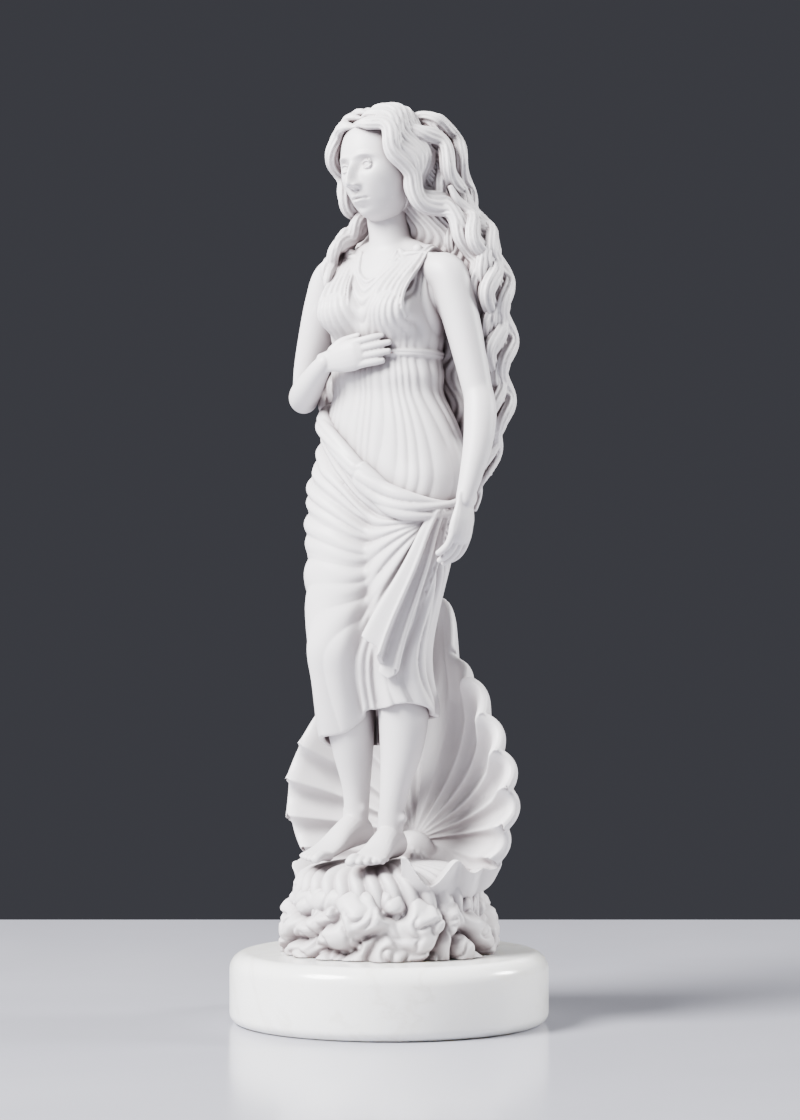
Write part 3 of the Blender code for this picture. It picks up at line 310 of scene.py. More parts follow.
# Marble powder cast in resin: matt and cool white, with painted shade that turns the creases and hollows a
# little grey and rosy, and the crowns paler.
marble = {
    "body": (0.65, 0.624, 0.634, 1),
    "pale": (0.76, 0.742, 0.75, 1),
    # crease is the grey rose colour of the painted shade in creases and hollows.
    "crease": (0.155, 0.117, 0.122, 1),
    "cloud": {"Scale": 70, "Detail": 5, "Roughness": 0.6},
    "grain": {"Scale": 2600, "Detail": 3, "Roughness": 0.7},
    # Painted shade: how far the occlusion looks, and how strongly creases, hollows and grooves are darkened.
    # The cloud weight mixes in the marble's own mottling.
    "creaseReach": 0.004,
    "hollowReach": 0.022,
    "creaseShade": 0.5,
    "hollowShade": 0.72,
    "grooveShade": 0.3,
    "cloudDirt": 0.15,
    "grainDepth": 0.00003,
    "rough": 0.46,
    "roughGrain": 0.18,
    # Roughness rises a little where shade is painted.
    "roughWithShade": 0.12,
    "surface": {
        "Subsurface Weight": 0.12,
        "Subsurface Radius": (1, 0.85, 0.8),
        "Subsurface Scale": 0.0012,
        "Specular IOR Level": 0.42,
    },
}


def marblePaint(look):
    paint, wire, place, shader = newPaint("bonded_marble", look["surface"])
    cloud = wire.clouds(place, look["cloud"])
    grain = wire.clouds(place, look["grain"])
    # Occlusion at a short and a long reach, used only to paint shade into creases and hollows.
    crease = wire.openness(look["creaseReach"])
    hollow = wire.openness(look["hollowReach"])
    crown = wire.node("ShaderNodeNewGeometry", out=7)
    edge = ((crown - 0.5) * 9).clamped()
    # groove, from the surface's pointiness, paints shade into narrow grooves.
    groove = ((0.5 - crown) * 7).clamped()
    # The mask of painted shade from creases, hollows and grooves, with the marble's own cloudy mottling mixed
    # in.
    shadeAndMottle = (1 - crease) * look["creaseShade"] + (1 - hollow) * look["hollowShade"]
    shadeAndMottle = (shadeAndMottle + groove * look["grooveShade"] + (cloud - 0.5) * look["cloudDirt"]).clamped()
    colour = blend(look["body"], look["pale"], (edge * 0.6 + cloud * 0.5).clamped())
    # Painted shade: the colour darkens towards the grey rose crease colour under the mask.
    colour = blend(colour, look["crease"], shadeAndMottle)
    wire.feed(shader.inputs["Base Color"], colour)
    # Roughness rises a little under the painted-shade mask.
    matt = look["rough"] + (grain - 0.5) * look["roughGrain"] + shadeAndMottle * look["roughWithShade"]
    wire.feed(shader.inputs["Roughness"], matt)
    skin = wire.node(
        "ShaderNodeBump", (), {"Height": grain, "Distance": look["grainDepth"], "Strength": 0.6}
    )
    wire.feed(shader.inputs["Normal"], skin)
    return paint


# Polished alabaster: milky, with soft clouds, a few faint veins and a clear gloss.
alabaster = {
    "body": (0.86, 0.855, 0.83, 1),
    "milk": (0.93, 0.93, 0.915, 1),
    "vein": (0.60, 0.56, 0.50, 1),
    "cloud": {"Scale": 22, "Detail": 6, "Roughness": 0.55, "Distortion": 0.6},
    "veins": {"Scale": 9, "Detail": 8, "Roughness": 0.6, "Distortion": 1.2},
    "speck": {"Scale": 900, "Detail": 2},
    "veinSharpness": 26,
    "speckDepth": 0.00001,
    "rough": 0.2,
    "surface": {
        "Subsurface Weight": 0.45,
        "Subsurface Radius": (1, 0.95, 0.85),
        "Subsurface Scale": 0.006,
        "Coat Weight": 0.25,
        "Coat Roughness": 0.08,
    },
}


def alabasterPaint(look):
    paint, wire, place, shader = newPaint("alabaster", look["surface"])
    cloud = wire.clouds(place, look["cloud"])
    bends = wire.clouds(place, look["veins"])
    speck = wire.clouds(place, look["speck"])
    line = wire.node("ShaderNodeMath", {"operation": "ABSOLUTE"}, {0: bends - 0.5})
    vein = (1 - line * look["veinSharpness"]).clamped() ** 2
    colour = blend(look["body"], look["milk"], ((cloud - 0.35) * 2.6).clamped())
    colour = blend(colour, look["vein"], vein * (cloud * 0.5).clamped())
    wire.feed(shader.inputs["Base Color"], colour)
    wire.feed(shader.inputs["Roughness"], look["rough"] + (cloud - 0.5) * 0.16 + (speck - 0.5) * 0.05)
    skin = wire.node(
        "ShaderNodeBump", (), {"Height": speck, "Distance": look["speckDepth"], "Strength": 0.3}
    )
    wire.feed(shader.inputs["Normal"], skin)
    return paint


marblePiece = marblePaint(marble)
alabasterPiece = alabasterPaint(alabaster)
print("materials made")


# The turned plinth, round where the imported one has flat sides, for its polish shows them.
plinth = {"sides": 240, "edge": 0.0055, "foot": 0.0035, "steps": 12, "flat": 0.0004}


# Leaves an object in edit mode with only those edges or faces picked for which test says yes.
def editPicked(obj, kind, test):
    bpy.ops.object.mode_set(mode="EDIT")
    bpy.ops.mesh.select_mode(type=kind)
    bpy.ops.mesh.select_all(action="DESELECT")
    bpy.ops.object.mode_set(mode="OBJECT")
    for part in obj.data.edges if kind == "EDGE" else obj.data.polygons:
        part.select = test(part)
    bpy.ops.object.mode_set(mode="EDIT")


def makePlinth():
    low, high = nodeBox["plinth"]
    height = high[2] - low[2]
    bpy.ops.mesh.primitive_cylinder_add(
        vertices=plinth["sides"],
        radius=(high[0] - low[0]) / 2,
        depth=height,
        location=(0, 0, low[2] + height / 2),
    )
    turned = bpy.context.active_object
    turned.name = "turned_plinth"
    pickOnly(turned)
    bpy.ops.object.transform_apply(location=True)
    for level, width in ((low[2], plinth["foot"]), (high[2], plinth["edge"])):
        heights = [v.co.z for v in turned.data.vertices]
        editPicked(turned, "EDGE", lambda edge: all(abs(heights[v] - level) < 1e-5 for v in edge.vertices))
        bpy.ops.mesh.bevel(offset=width, segments=plinth["steps"], affect="EDGES")
        bpy.ops.object.mode_set(mode="OBJECT")
    editPicked(turned, "FACE", lambda face: len(face.vertices) > 4)
    bpy.ops.mesh.inset(thickness=plinth["flat"], use_individual=True)
    bpy.ops.object.mode_set(mode="OBJECT")
    handOver(turned, alabasterPiece, "plinth")


makePlinth()


# The rockwork under the shell.
rock = {
    "diameter": 0.070,
    "height": 0.019,
    "lump": 0.012,
    "relief": 0.0066,
    "edge": 0.005,
    "seed": 7,
    "steps": 44,
    "sides": 480,
    "voxel": 0.00032,
    "soften": 1,
    "triangles": 95000,
}
rockBase = nodeBox["statuette"][0].z
rockTop = rockBase + rock["height"]


# 0 in the creases and 1 on the rounded crowns of winding lumps of about the given size.
def crumple(point, size):
    here = Vector(point) / size
    bend = noise.noise_vector(here * 0.8) * 0.55
    fall = 1 - min(1.0, 2.5 * abs(noise.noise(here + bend)))
    return 1 - fall * fall


# The rockwork: a drum with a rounded top edge, whose skin swells in two sizes of lumps.
def rockRings(steps, sides):
    noise.seed_set(rock["seed"])
    radius = rock["diameter"] / 2 - rock["relief"] * 0.6
    angles = ringAngles(sides)
    below = 0.003  # hidden under the cut
    path = [(radius * 0.5, -below), (radius, -below)]
    path += [(radius, (rock["height"] - rock["edge"]) * s) for s in np.linspace(0, 1, steps)]
    path += [
        (radius - rock["edge"] * (1 - math.cos(a)), rock["height"] - rock["edge"] * (1 - math.sin(a)))
        for a in np.linspace(0.2, math.pi / 2, steps // 2)
    ]
    path += [(radius * s, rock["height"]) for s in np.linspace(0.8, 0.1, steps // 2)]
    rings = []
    for r, h in path:
        ring = []
        up = min(1.0, max(0.0, (h - rock["height"] + rock["edge"]) / rock["edge"]))
        for a in angles:
            point = np.array((r * math.sin(a), -r * math.cos(a), rockBase + h))
            away = np.array((math.sin(a) * (1 - 0.8 * up), -math.cos(a) * (1 - 0.8 * up), up))
            swell = 0.8 * crumple(point, rock["lump"]) + 0.25 * crumple(point + 0.1, rock["lump"] * 0.45)
            ring.append(point + away * rock["relief"] * (swell - 0.4) * (1 - 0.35 * up))
        rings.append(ring)
    return rings


def makeRock():
    clay = Clay()
    clay.addRings(rockRings(rock["steps"], rock["sides"]), metres)
    lump = fused(clay, "rockwork", rock)
    pickOnly(lump)
    bpy.ops.object.mode_set(mode="EDIT")
    bpy.ops.mesh.select_all(action="SELECT")
    bpy.ops.mesh.bisect(
        plane_co=(0, 0, rockBase), plane_no=(0, 0, 1), use_fill=True, clear_inner=True, threshold=1e-7
    )
    bpy.ops.object.mode_set(mode="OBJECT")
    handOver(lump, marblePiece)


makeRock()


# The shell: a fan behind the legs that wraps forward into a low wavy lip.
shell = {
    "spread": 0.046,
    "rise": 0.077,
    "depth": 0.015,
    "wall": 0.0035,
    "wrap": 0.019,
    "ribs": 21,
    "ribDepth": 0.005,
    "hingeBack": 0.013,
    "hingeRise": 0.005,
    "lipRise": 0.008,
    "lipWave": 0.004,
    "rows": 90,
    "around": 820,
    "voxel": 0.00033,
    "soften": 1,
    "triangles": 138000,
}
# The outline of the fan below its tongue: degrees from straight up, and share of the spread.
fanOutline = [
    (0, 1.25),
    (12, 1.25),
    (25, 1.228),
    (35, 1.143),
    (50, 1.061),
    (62, 1.02),
    (76, 0.935),
    (85, 0.859),
    (95, 0.793),
    (110, 0.783),
    (130, 0.837),
    (152, 0.891),
]
# The fluted half of the shell under the feet.
cushion = {
    "halfWidth": 0.031,
    "depth": 0.029,
    "rise": 0.010,
    "flutes": 16,
    "fluteDepth": 0.0022,
    "steps": 60,
    "sides": 700,
}
figure = {"height": 0.241, "forward": 0.001}
soleHeight = rockTop + cushion["rise"]
figurePlace = Matrix.Translation((0, -figure["forward"], soleHeight))
figurePlace = figurePlace @ Matrix.Scale(figure["height"] / 1000, 4)


# A rounded ridge with a narrow valley at each whole number.
def pleat(phase):
    return np.abs(np.sin(math.pi * phase)) ** 0.8


# Angles as degrees from -180 to 180.
def wrapped(angles):
    return np.degrees((angles + math.pi) % math.tau - math.pi)


# How high the low lip stands over the rock, by its angle from the top of the fan in degrees.
def lipHeight(turn):
    offset = np.abs(turn)
    waveHere = smoothStep((offset - 112) / 14) * np.cos(math.tau * (offset - 126) / 26)
    rise = shell["lipRise"] + 0.0025 * (1 - smoothStep((offset - 100) / 25))
    left = rise + shell["lipWave"] * waveHere + 0.0015 * bump(offset, 150, 4)
    right = rise * (1 - 0.75 * smoothStep((offset - 126) / 24)) + 0.15 * shell["lipWave"] * waveHere
    return np.where(turn > 0, left, right)


# The inner and the outer face of the shell, grids of points from the hinge out and along the rim.
def shellSheets(radial, around):
    reach = 152
    degrees = np.linspace(-reach, reach, around)
    turn, offset = np.radians(degrees), np.abs(degrees)
    scoop = np.sqrt(np.sin(math.pi * (degrees / reach * shell["ribs"] / 2 + 0.5)) ** 2 + 0.04) - 0.6
    tongue = (shell["rise"] - fanOutline[0][1] * shell["spread"]) * np.exp(-((offset / 6.5) ** 2))
    far = column(fanOutline, offset)[0] * shell["spread"] + tongue
    upright = np.cos(turn / 2) ** 2
    low = smoothStep((offset - 84) / 34)
    flare = np.where(turn > 0, 0.09, 0.02)  # the outer face stands steeper on her right
    foot = np.where(turn > 0, 0.84, 0.93)
    crest = rockTop + lipHeight(degrees)
    bottom = rockTop - 0.1 * cushion["rise"]
    hinge = soleHeight + shell["hingeRise"]
    inner, outer = [], []
    for share in np.linspace(0.03, 1, radial):
        deep = shell["ribDepth"] * (0.15 + 0.85 * share) * min(1, share * 5) * scoop
        reachHere = (far + 0.4 * deep) * share
        x = reachHere * np.sin(turn)
        lean = 0.8 * upright * share**1.1 + 0.5 * math.sin(math.pi * share * 0.9)
        lean = lean - 0.9 * upright * max(0, share - 0.75)
        wrap = shell["wrap"] * (1 - np.exp(-((x / (0.41 * shell["spread"])) ** 2))) * share**1.5
        yUp = shell["hingeBack"] + shell["depth"] * lean - wrap + deep
        yLow = shell["hingeBack"] + reachHere * np.cos(turn) * 0.93
        zUp = hinge + reachHere * np.cos(turn)
        floor = hinge + (rockTop + 0.2 * cushion["rise"] - hinge) * smoothStep(share * 1.6)
        floor = floor + 0.5 * deep * smoothStep((0.9 - share) / 0.4)
        zLow = floor + (crest - floor) * smoothStep((share - 0.55) / 0.45)
        inner.append(np.stack([x, yUp * (1 - low) + yLow * low, zUp * (1 - low) + zLow * low], axis=1))
        out = 1 + flare * smoothStep((share - 0.6) / 0.4)
        skirt = bottom + (crest - bottom) * smoothStep((share - foot) / (1 - foot))
        yOut = shell["hingeBack"] + (yLow - shell["hingeBack"]) * out
        outer.append(np.stack([x * out, yOut, skirt], axis=1))
    inner, outer = np.array(inner), np.array(outer)
    normal = unit(np.cross(np.gradient(inner, axis=1), np.gradient(inner, axis=0)))
    edge = np.clip((np.linspace(0.03, 1, radial) - 0.94) / 0.06, 0, 1)
    wall = shell["wall"] * np.linspace(0.8, 1.25, radial)
    rounding = np.sqrt(1 - 0.92 * edge**2)
    upper = inner - normal * (wall * (1 - rounding) / 2)[:, None, None]
    behind = inner - normal * (wall * (1 + rounding) / 2)[:, None, None]
    low = low[None, :, None]
    return upper * (1 - low) + inner * low, behind * (1 - low) + outer * low


# The shell as a wall: its inner and its outer face, joined round the rim.
def addShell(clay, radial, around):
    inner, outer = shellSheets(radial, around)
    sheets = np.concatenate([inner, outer[::-1]])
    rows = len(sheets)
    start = clay.count
    clay.points.append(sheets.reshape(-1, 3))
    for j in range(rows):
        for i in range(around - 1):
            a = start + j * around + i
            b = start + ((j + 1) % rows) * around + i
            clay.faces.append((a, a + 1, b + 1, b))
    for edge in (0, around - 1):
        line = [start + j * around + edge for j in range(rows)]
        for j in range(radial - 1):
            face = (line[j], line[j + 1], line[rows - 2 - j], line[rows - 1 - j])
            clay.faces.append(face if edge == 0 else face[::-1])
    clay.count += rows * around


# The low fluted half of the shell under her feet, which spills over the rock in front.
def cushionRings(steps, sides):
    angles = ringAngles(sides)
    rings = []
    bottom = rockTop - 0.8 * cushion["rise"]
    for share in np.linspace(1, 0.02, steps):
        turn = share * math.pi / 2
        flutes = pleat(2 * cushion["flutes"] * (angles / math.tau) + 0.5 - 1.5 * share)
        inward = cushion["fluteDepth"] * (1 - flutes) * min(1, share * 1.6)
        spread = math.sin(turn) ** 0.6
        x = (cushion["halfWidth"] * spread - inward) * np.sin(angles)
        y = -(cushion["depth"] * spread - inward) * np.cos(angles) - figure["forward"]
        z = bottom + (soleHeight - bottom) * math.cos(turn) ** 0.35 * np.ones(sides) - 0.3 * inward
        rings.append(np.stack([x, y, z], axis=1))
    return rings


def makeShell():
    clay = Clay()
    addShell(clay, shell["rows"], shell["around"])
    beak = (0, shell["hingeBack"], soleHeight)
    size = (2.4 * shell["wall"], 1.6 * shell["wall"], shell["hingeRise"] + shell["wall"])
    clay.addRings(ballRings(beak, size, steps=30, sides=40), metres)
    clay.addRings(cushionRings(cushion["steps"], cushion["sides"]), metres)
    handOver(fused(clay, "shell", shell), marblePiece)


makeShell()


# Limbs, as rows of x, y, z and radius. Her left leg, at +X, carries her, and the right knee is bent a little.
leftLeg = [
    (50, 4, 515, 58),
    (48, 0, 470, 56),
    (42, -8, 400, 48),
    (34, -15, 330, 39),
    (29, -18, 280, 34.5),
    (28, -12, 240, 32),
    (29, -4, 200, 34),
    (26, -4, 150, 29),
    (20, -10, 100, 20.5),
    (15, -12, 62, 17),
    (13, -12, 40, 18),
]
rightLeg = [
    (-50, 2, 510, 57),
    (-49, -8, 465, 55),
    (-46, -26, 395, 47),
    (-43, -42, 325, 39),
    (-41, -50, 278, 35),
    (-41, -41, 238, 32),
    (-44, -26, 200, 33.5),
    (-48, -12, 150, 28.5),
    (-51, 0, 100, 20),
    (-53, 4, 66, 17),
    (-54, 2, 46, 18),
]
leftUpperArm = [
    (70, 6, 776, 25),
    (92, 6, 772, 27),
    (104, 7, 742, 26),
    (116, 9, 700, 24),
    (128, 11, 652, 21.5),
    (137, 12, 614, 19.5),
]
leftForearm = [
    (137, 12, 618, 19.5),
    (145, 5, 590, 21.5),
    (150, -8, 550, 19.5),
    (149, -24, 505, 15),
    (146, -34, 474, 12),
]
rightUpperArm = [
    (-70, 4, 778, 25),
    (-92, 4, 774, 27),
    (-106, 4, 744, 26),
    (-120, 5, 700, 24),
    (-134, 7, 652, 21),
    (-143, 9, 612, 16.5),
]
rightForearm = [
    (-142, 8, 611, 16.5),
    (-125, -17, 615, 20.5),
    (-97, -44, 626, 19.5),
    (-64, -68, 645, 15),
    (-46, -77, 657, 12),
]
neck = [(0, 14, 785, 40), (0, 11, 806, 33), (-1, 8, 828, 28), (-3, 4, 850, 27), (-5, 2, 888, 29)]
yoke = [
    (-90, 6, 770, 23),
    (-58, 9, 786, 22),
    (-26, 12, 799, 24),
    (26, 12, 799, 24),
    (58, 9, 786, 22),
    (90, 6, 768, 23),
]
# The trunk, as rows of height, centre x, centre y, half width and half depth.
trunk = [
    (440, 4, 6, 60, 40),
    (470, 5, 6, 98, 58),
    (505, 5, 7, 108, 66),
    (545, 4, 6, 104, 62),
    (585, 3, 3, 88, 54),
    (625, 1, 0, 73, 48),
    (665, 0, 1, 75, 50),
    (705, 0, 3, 82, 54),
    (745, 0, 5, 85, 53),
    (775, 0, 7, 76, 45),
    (800, 0, 9, 54, 34),
    (815, 0, 10, 34, 26),
]
breasts = [((41, -46, 724), (32, 28, 31)), ((-41, -46, 724), (32, 28, 31))]
collarbone = [(9, -22, 796, 3), (34, -18, 799, 4), (60, -11, 801, 4), (82, -4, 797, 3)]
ankleBones = ((34, -10, 56), (0, -14, 60), (-70, 4, 62), (-38, 0, 66))
# Each hand, hers on the right first: wrist, way to the knuckles, way out of the palm, bend of the joints.
hands = (
    ((-46, -77, 657), (0.93, 0.16, 0.2), (0.1, 1, 0.05), 6),
    ((146, -34, 476), (-0.1, -0.12, -1), (-1, 0.1, 0), 16),
)
palmProfile = ((-6, 0, 13), (10, 1, 15), (28, 2, 20), (44, 1.5, 21), (52, 0, 18))
fingers = ((15, 40), (5, 46), (-5, 43), (-14.5, 34))  # place across the palm, and length
# Each foot, her left first: ankle, way to the toes, lift of the heel, and +1 for the little toe at +X.
feet = (((13, -10), (0.25, -0.97), 0, 1), ((-54, 2), (-0.03, -1), 14, -1))
toes = ((-16, 31, 8.6), (-5.5, 29, 6), (3.5, 25, 5.6), (12, 20, 5.2), (20, 14, 5))  # place, length, radius


def legAt(leg, z):
    fine = spline(leg, 8 * (len(leg) - 1) + 1)[::-1]
    return [float(np.interp(z, fine[:, 2], fine[:, k])) for k in (0, 1, 3)]


def trunkRings(low, steps, sides):
    heights = np.linspace(low, trunk[-1][0], steps)
    angles = ringAngles(sides)
    x, y, a, b = column(trunk, heights)
    return [
        np.stack([cx + ra * np.sin(angles), cy - rb * np.cos(angles), np.full(sides, z)], axis=1)
        for z, cx, cy, ra, rb in zip(heights, x, y, a, b)
    ]


limbs = {"voxel": 0.0006, "soften": 18, "triangles": 400000}
armSkin = {"voxel": 0.00028, "soften": 1, "triangles": 74000}
headSkin = {"voxel": 0.00016, "soften": 1, "triangles": 92000}
legSkin = {"voxel": 0.0003, "soften": 1, "triangles": 45000}


# Adds limbs to the clay of a piece as one softly fused body.
def addLimbs(clay, shells, name):
    soft = Clay()
    for rings in shells:
        soft.addRings(rings)
    body = fused(soft, name, limbs)
    clay.addMesh(body.data)
    bpy.data.objects.remove(body)


# A hand: a flat palm, four fingers that bend towards the palm, and a thumb. reach points from wrist to
# knuckles, palm points out of the palm, and curl is each finger joint's bend.
def handRings(wrist, reach, palm, curl, sides=20):
    wrist, reach, palm = np.array(wrist, float), unit(np.array(reach, float)), np.array(palm, float)
    palm = unit(palm - reach * (palm @ reach))
    side = np.cross(reach, palm)
    rows = [(*(wrist + reach * along - palm * depth), width) for along, depth, width in palmProfile]
    shells = [tubeRings(rows, 12, 16, outward=palm, flat=0.46)]
    for place, length in fingers:
        point = wrist + reach * (49 - abs(place) * 0.15) + side * place - palm * 1.5
        heading, lean = 0.0, place * 0.003
        rows = [(*(point - reach * 8), 5.4), (*point, 5.6)]
        for share, bend in ((0.42, curl), (0.32, curl * 1.4), (0.26, curl)):
            heading += math.radians(bend)
            way = unit(reach * math.cos(heading) + palm * math.sin(heading) + side * lean)
            point = point + way * length * share
            rows.append((*point, 4.9 if share > 0.3 else 4.0))
        shells.append(tubeRings(rows, 16, sides, outward=palm, flat=0.95))
    root = wrist + reach * 14 + side * 12
    tip = root + reach * 26 + side * 11 + palm * 6
    middle = root + (tip - root) * 0.5 + side * 2.5
    end = tip + reach * 12 + side
    rows = [(*root, 7), (*middle, 6.4), (*tip, 5.2), (*end, 4.2)]
    shells.append(tubeRings(rows, 12, sides, outward=palm))
    return shells


# A bare foot under an ankle at (x, y), pointing along toeWay. outer is +1 with the little toe at +X.
def footRings(ankle, toeWay, heelLift, outer):
    way = unit(np.array((*toeWay, 0.0)))
    side = np.array((-way[1], way[0], 0.0)) * (1 if outer * -way[1] > 0 else -1)
    base = np.array((*ankle, 0.0))
    profile = [
        (-26, 16 + heelLift, 13, 12),
        (-14, 22 + heelLift, 18, 20),
        (6, 26 + heelLift * 0.8, 18, 24),
        (32, 21 + heelLift * 0.5, 19, 19),
        (58, 13 + heelLift * 0.2, 22, 12),
        (80, 9, 24, 8.5),
        (92, 7.5, 22, 6.5),
    ]
    angles = ringAngles(20)
    rings = []
    for along, lift, halfWidth, halfHeight in spline(profile, 18):
        centre = base + way * along + np.array((0, 0, lift))
        rings.append(
            centre
            + side * (halfWidth * np.cos(angles))[:, None]
            + np.array((0, 0, 1.0)) * (halfHeight * np.sin(angles))[:, None]
        )
    shells = [np.array(rings)]
    for place, length, radius in toes:
        root = base + way * (80 - max(place, 0) * 0.35) + side * place + np.array((0, 0, 8.0))
        middle = root + way * length * 0.45 + np.array((0, 0, 1.5))
        tip = root + way * length * 0.8 + np.array((0, 0, -2.0))
        rows = [(*root, radius), (*middle, radius * 0.92), (*tip, radius * 0.9)]
        shells.append(tubeRings(rows, 8, 10, outward=(0, 0, 1), flat=0.85))
    return shells


headCentre = (-4, -8, 915)
headSize = 1.1
headTurn = (2, -5, -8)
skull = (45, 52, 57, 65)


# Points of the upright head, in its own thousandths, moved to its place and turn on the neck.
def onHead(points):
    rx, ry, rz = (Matrix.Rotation(math.radians(t), 3, axis) for t, axis in zip(headTurn, "XYZ"))
    return np.asarray(points, float) * headSize @ np.array(rz @ ry @ rx).T + headCentre


# How far the ridge of the nose stands out, by height from the middle of the head.
noseRidge = [
    (-33, 0),
    (-28.5, 1.2),
    (-26, 6.5),
    (-22.5, 12.6),
    (-19, 14),
    (-14, 12.2),
    (-7, 9),
    (1, 5.2),
    (8, 2),
    (15, 0),
]


# The head as a sphere whose points are moved: skull, jaw, brow, nose, lips and chin.
def headPoints(steps, sides):
    lift = np.linspace(-math.pi / 2, math.pi / 2, steps + 2)[1:-1, None]
    angles = ringAngles(sides)[None]
    z = np.sin(lift)
    low = np.clip(-z, 0, 1)
    full = (1 - np.abs(z) ** 2.8) ** (1 / 2.8)
    facing = np.cos(angles)
    front = smoothStep((facing + 0.15) / 0.9)
    halfWidth, toFace, toNape, halfHeight = skull
    px = halfWidth * (1 - 0.31 * low**1.5) * (0.45 * np.cos(lift) + 0.55 * full) * np.sin(angles)
    face = (toFace - 4 * low) * (0.2 * np.cos(lift) + 0.8 * full)
    nape = (toNape - 30 * low) * np.cos(lift)
    py = -np.where(facing > 0, face, nape) * facing
    pz = halfHeight * z + 0 * angles
    side = np.abs(px)
    forward = 2.9 * bump(pz, 13.5 - 0.014 * (side - 16) ** 2, 3.2) * bump(side, 18, 12)  # brow
    forward -= 7.6 * bump(pz, 1.5, 7.5) * bump(side, 17.5, 9)  # eye sockets
    forward -= 2.6 * bump(pz, -2, 9) * bump(side, 8, 3.5)  # inner corners of the sockets
    forward -= 1.6 * bump(pz, 6, 6) * bump(px, 0, 6)  # root of the nose
    ridge = column(noseRidge, np.clip(pz, noseRidge[0][0], noseRidge[-1][0]))[0]
    forward += ridge * bump(px, 0, 4.4 + 2.4 * bump(pz, -21, 5))
    forward += 4.8 * bump(pz, -22.8, 3) * bump(side, 7, 2.6)  # wings of the nose
    forward -= 3 * bump(pz, -27, 1.6) * bump(side, 3.6, 1.8)  # nostrils
    forward += 2.2 * bump(pz, -37, 10) * bump(px, 0, 15)  # mouth region
    forward -= 1.0 * bump(pz, -30, 3.4) * bump(px, 0, 1.9)  # groove over the lip
    forward += 2.0 * bump(pz, -13, 10) * bump(side, 27, 10)  # cheekbones
    forward -= 1.4 * bump(pz, -34, 9) * bump(side, 24, 7)  # cheeks
    forward += 3.3 * bump(pz, -34.4 - 0.1 * side, 2.5) * bump(px, 0, 8.6) * (1 - 0.3 * bump(px, 0, 1.7))
    forward += 3.9 * bump(pz, -41.3 + 0.07 * side, 2.9) * bump(px, 0, 7.6)  # lower lip
    forward -= 2.2 * bump(pz, -37.7, 0.95) * bump(px, 0, 10.5)  # mouth line
    forward -= 1.3 * bump(pz, -37.6, 2) * bump(side, 11.5, 2.2)  # corners of the mouth
    forward -= 2.0 * bump(pz, -47.6, 3.2) * bump(px, 0, 11)  # under the lower lip
    forward += 4.0 * bump(pz, -56, 6.6) * bump(px, 0, 10.5)  # chin
    return onHead(np.stack([px, py - forward * front, pz], axis=-1))


# Each eye: a ball between two lids, with a ring and a dimple for its iris.
def eyeShells(steps, sides):
    shells = []
    for side in (-1, 1):
        ball = ballRings((0, 0, 0), (1, 1, 1), steps=steps, sides=sides)
        lift = np.degrees(np.arcsin(np.clip(ball[..., 2], -1, 1)))
        turn = side * np.degrees(np.arctan2(ball[..., 0], -ball[..., 1]))
        middle = 0.05 * turn
        widest = np.clip(1 - (turn / 52) ** 2, 0, 1)
        gap = np.where(lift > middle, 25 * widest - lift + middle, 19 * widest + lift - middle)
        bare = smoothStep(gap / 4) * (np.abs(turn) < 52)
        away = np.hypot(turn, lift - 2)
        size = 10 - 1.9 * bare - 2 * smoothStep((np.abs(turn) - 48) / 25)
        size += np.where(lift > middle, 0.8, 0.3) * bump(gap, -4, 4) * widest
        size -= 1.3 * bump(lift, 47 * widest + 4, 7) + 1.8 * smoothStep((-lift - 26) / 22)
        size -= 1.7 * smoothStep((turn - 30) / 24)
        size -= bare * (0.4 * bump(away, 18, 4) + 0.8 * bump(away, 0, 6))
        ball = ball * size[..., None] + (side * 17.5, -37.2, 0.5)
        shells.append(onHead(ball))
    return shells


# A piece of marble from shells of rings. Limbs are first fused by themselves.
def makePiece(name, look, shells, limbShells=()):
    clay = Clay()
    if limbShells:
        addLimbs(clay, limbShells, name + "_limbs")
    for rings in shells:
        clay.addRings(rings)
    handOver(fused(clay, name, look), marblePiece)


def makeUpperFigure():
    shells = [trunkRings(640, 40, 60)]
    shells += [ballRings(centre, radii, steps=24, sides=32) for centre, radii in breasts]
    for limb in (leftUpperArm, leftForearm, rightUpperArm, rightForearm, yoke, neck):
        shells.append(tubeRings(limb, 60, 36))
    for side in (-1, 1):
        rows = [(side * x, y, z, size) for x, y, z, size in collarbone]
        shells.append(tubeRings(rows, 24, 16))
    makePiece("arms", armSkin, handRings(*hands[0]) + handRings(*hands[1]), shells)


# The legs below the mantle, with their ankle bones and feet.
def makeLowerFigure():
    shells = [tubeRings([row for row in leg if row[2] < 345], 60, 36) for leg in (leftLeg, rightLeg)]
    shells += [ballRings(bone, (5, 7, 7)) for bone in ankleBones]
    makePiece("legs_and_feet", legSkin, footRings(*feet[0]) + footRings(*feet[1]), shells)


makeUpperFigure()
makePiece("head", headSkin, [headPoints(300, 380)] + eyeShells(70, 100))
makeLowerFigure()


# The ellipses that trunk, legs and breasts cut at height z, as centre and half sizes.
def shapesAt(z):
    shapes = []
    if z > trunk[0][0]:
        shapes.append([float(v) for v in column(trunk, z)])
    if z < 520:
        for leg in (leftLeg, rightLeg):
            x, y, r = legAt(leg, z)
            shapes.append([x, y, r, r])
    for (x, y, zc), (a, b, c) in breasts:
        if abs(z - zc) < c * 0.98:
            share = math.sqrt(1 - ((z - zc) / c) ** 2)
            shapes.append([x, y, a * share, b * share])
    return np.array(shapes)


# A table of reach by height and angle, with its jumps evened out. Angles meet end to end.
def softened(table, rounds):
    for _ in range(rounds):
        table = (np.roll(table, 1, axis=1) + 2 * table + np.roll(table, -1, axis=1)) / 4
        ends = np.vstack([table[:1], table, table[-1:]])
        table = (ends[:-2] + 2 * table + ends[2:]) / 4
    return table


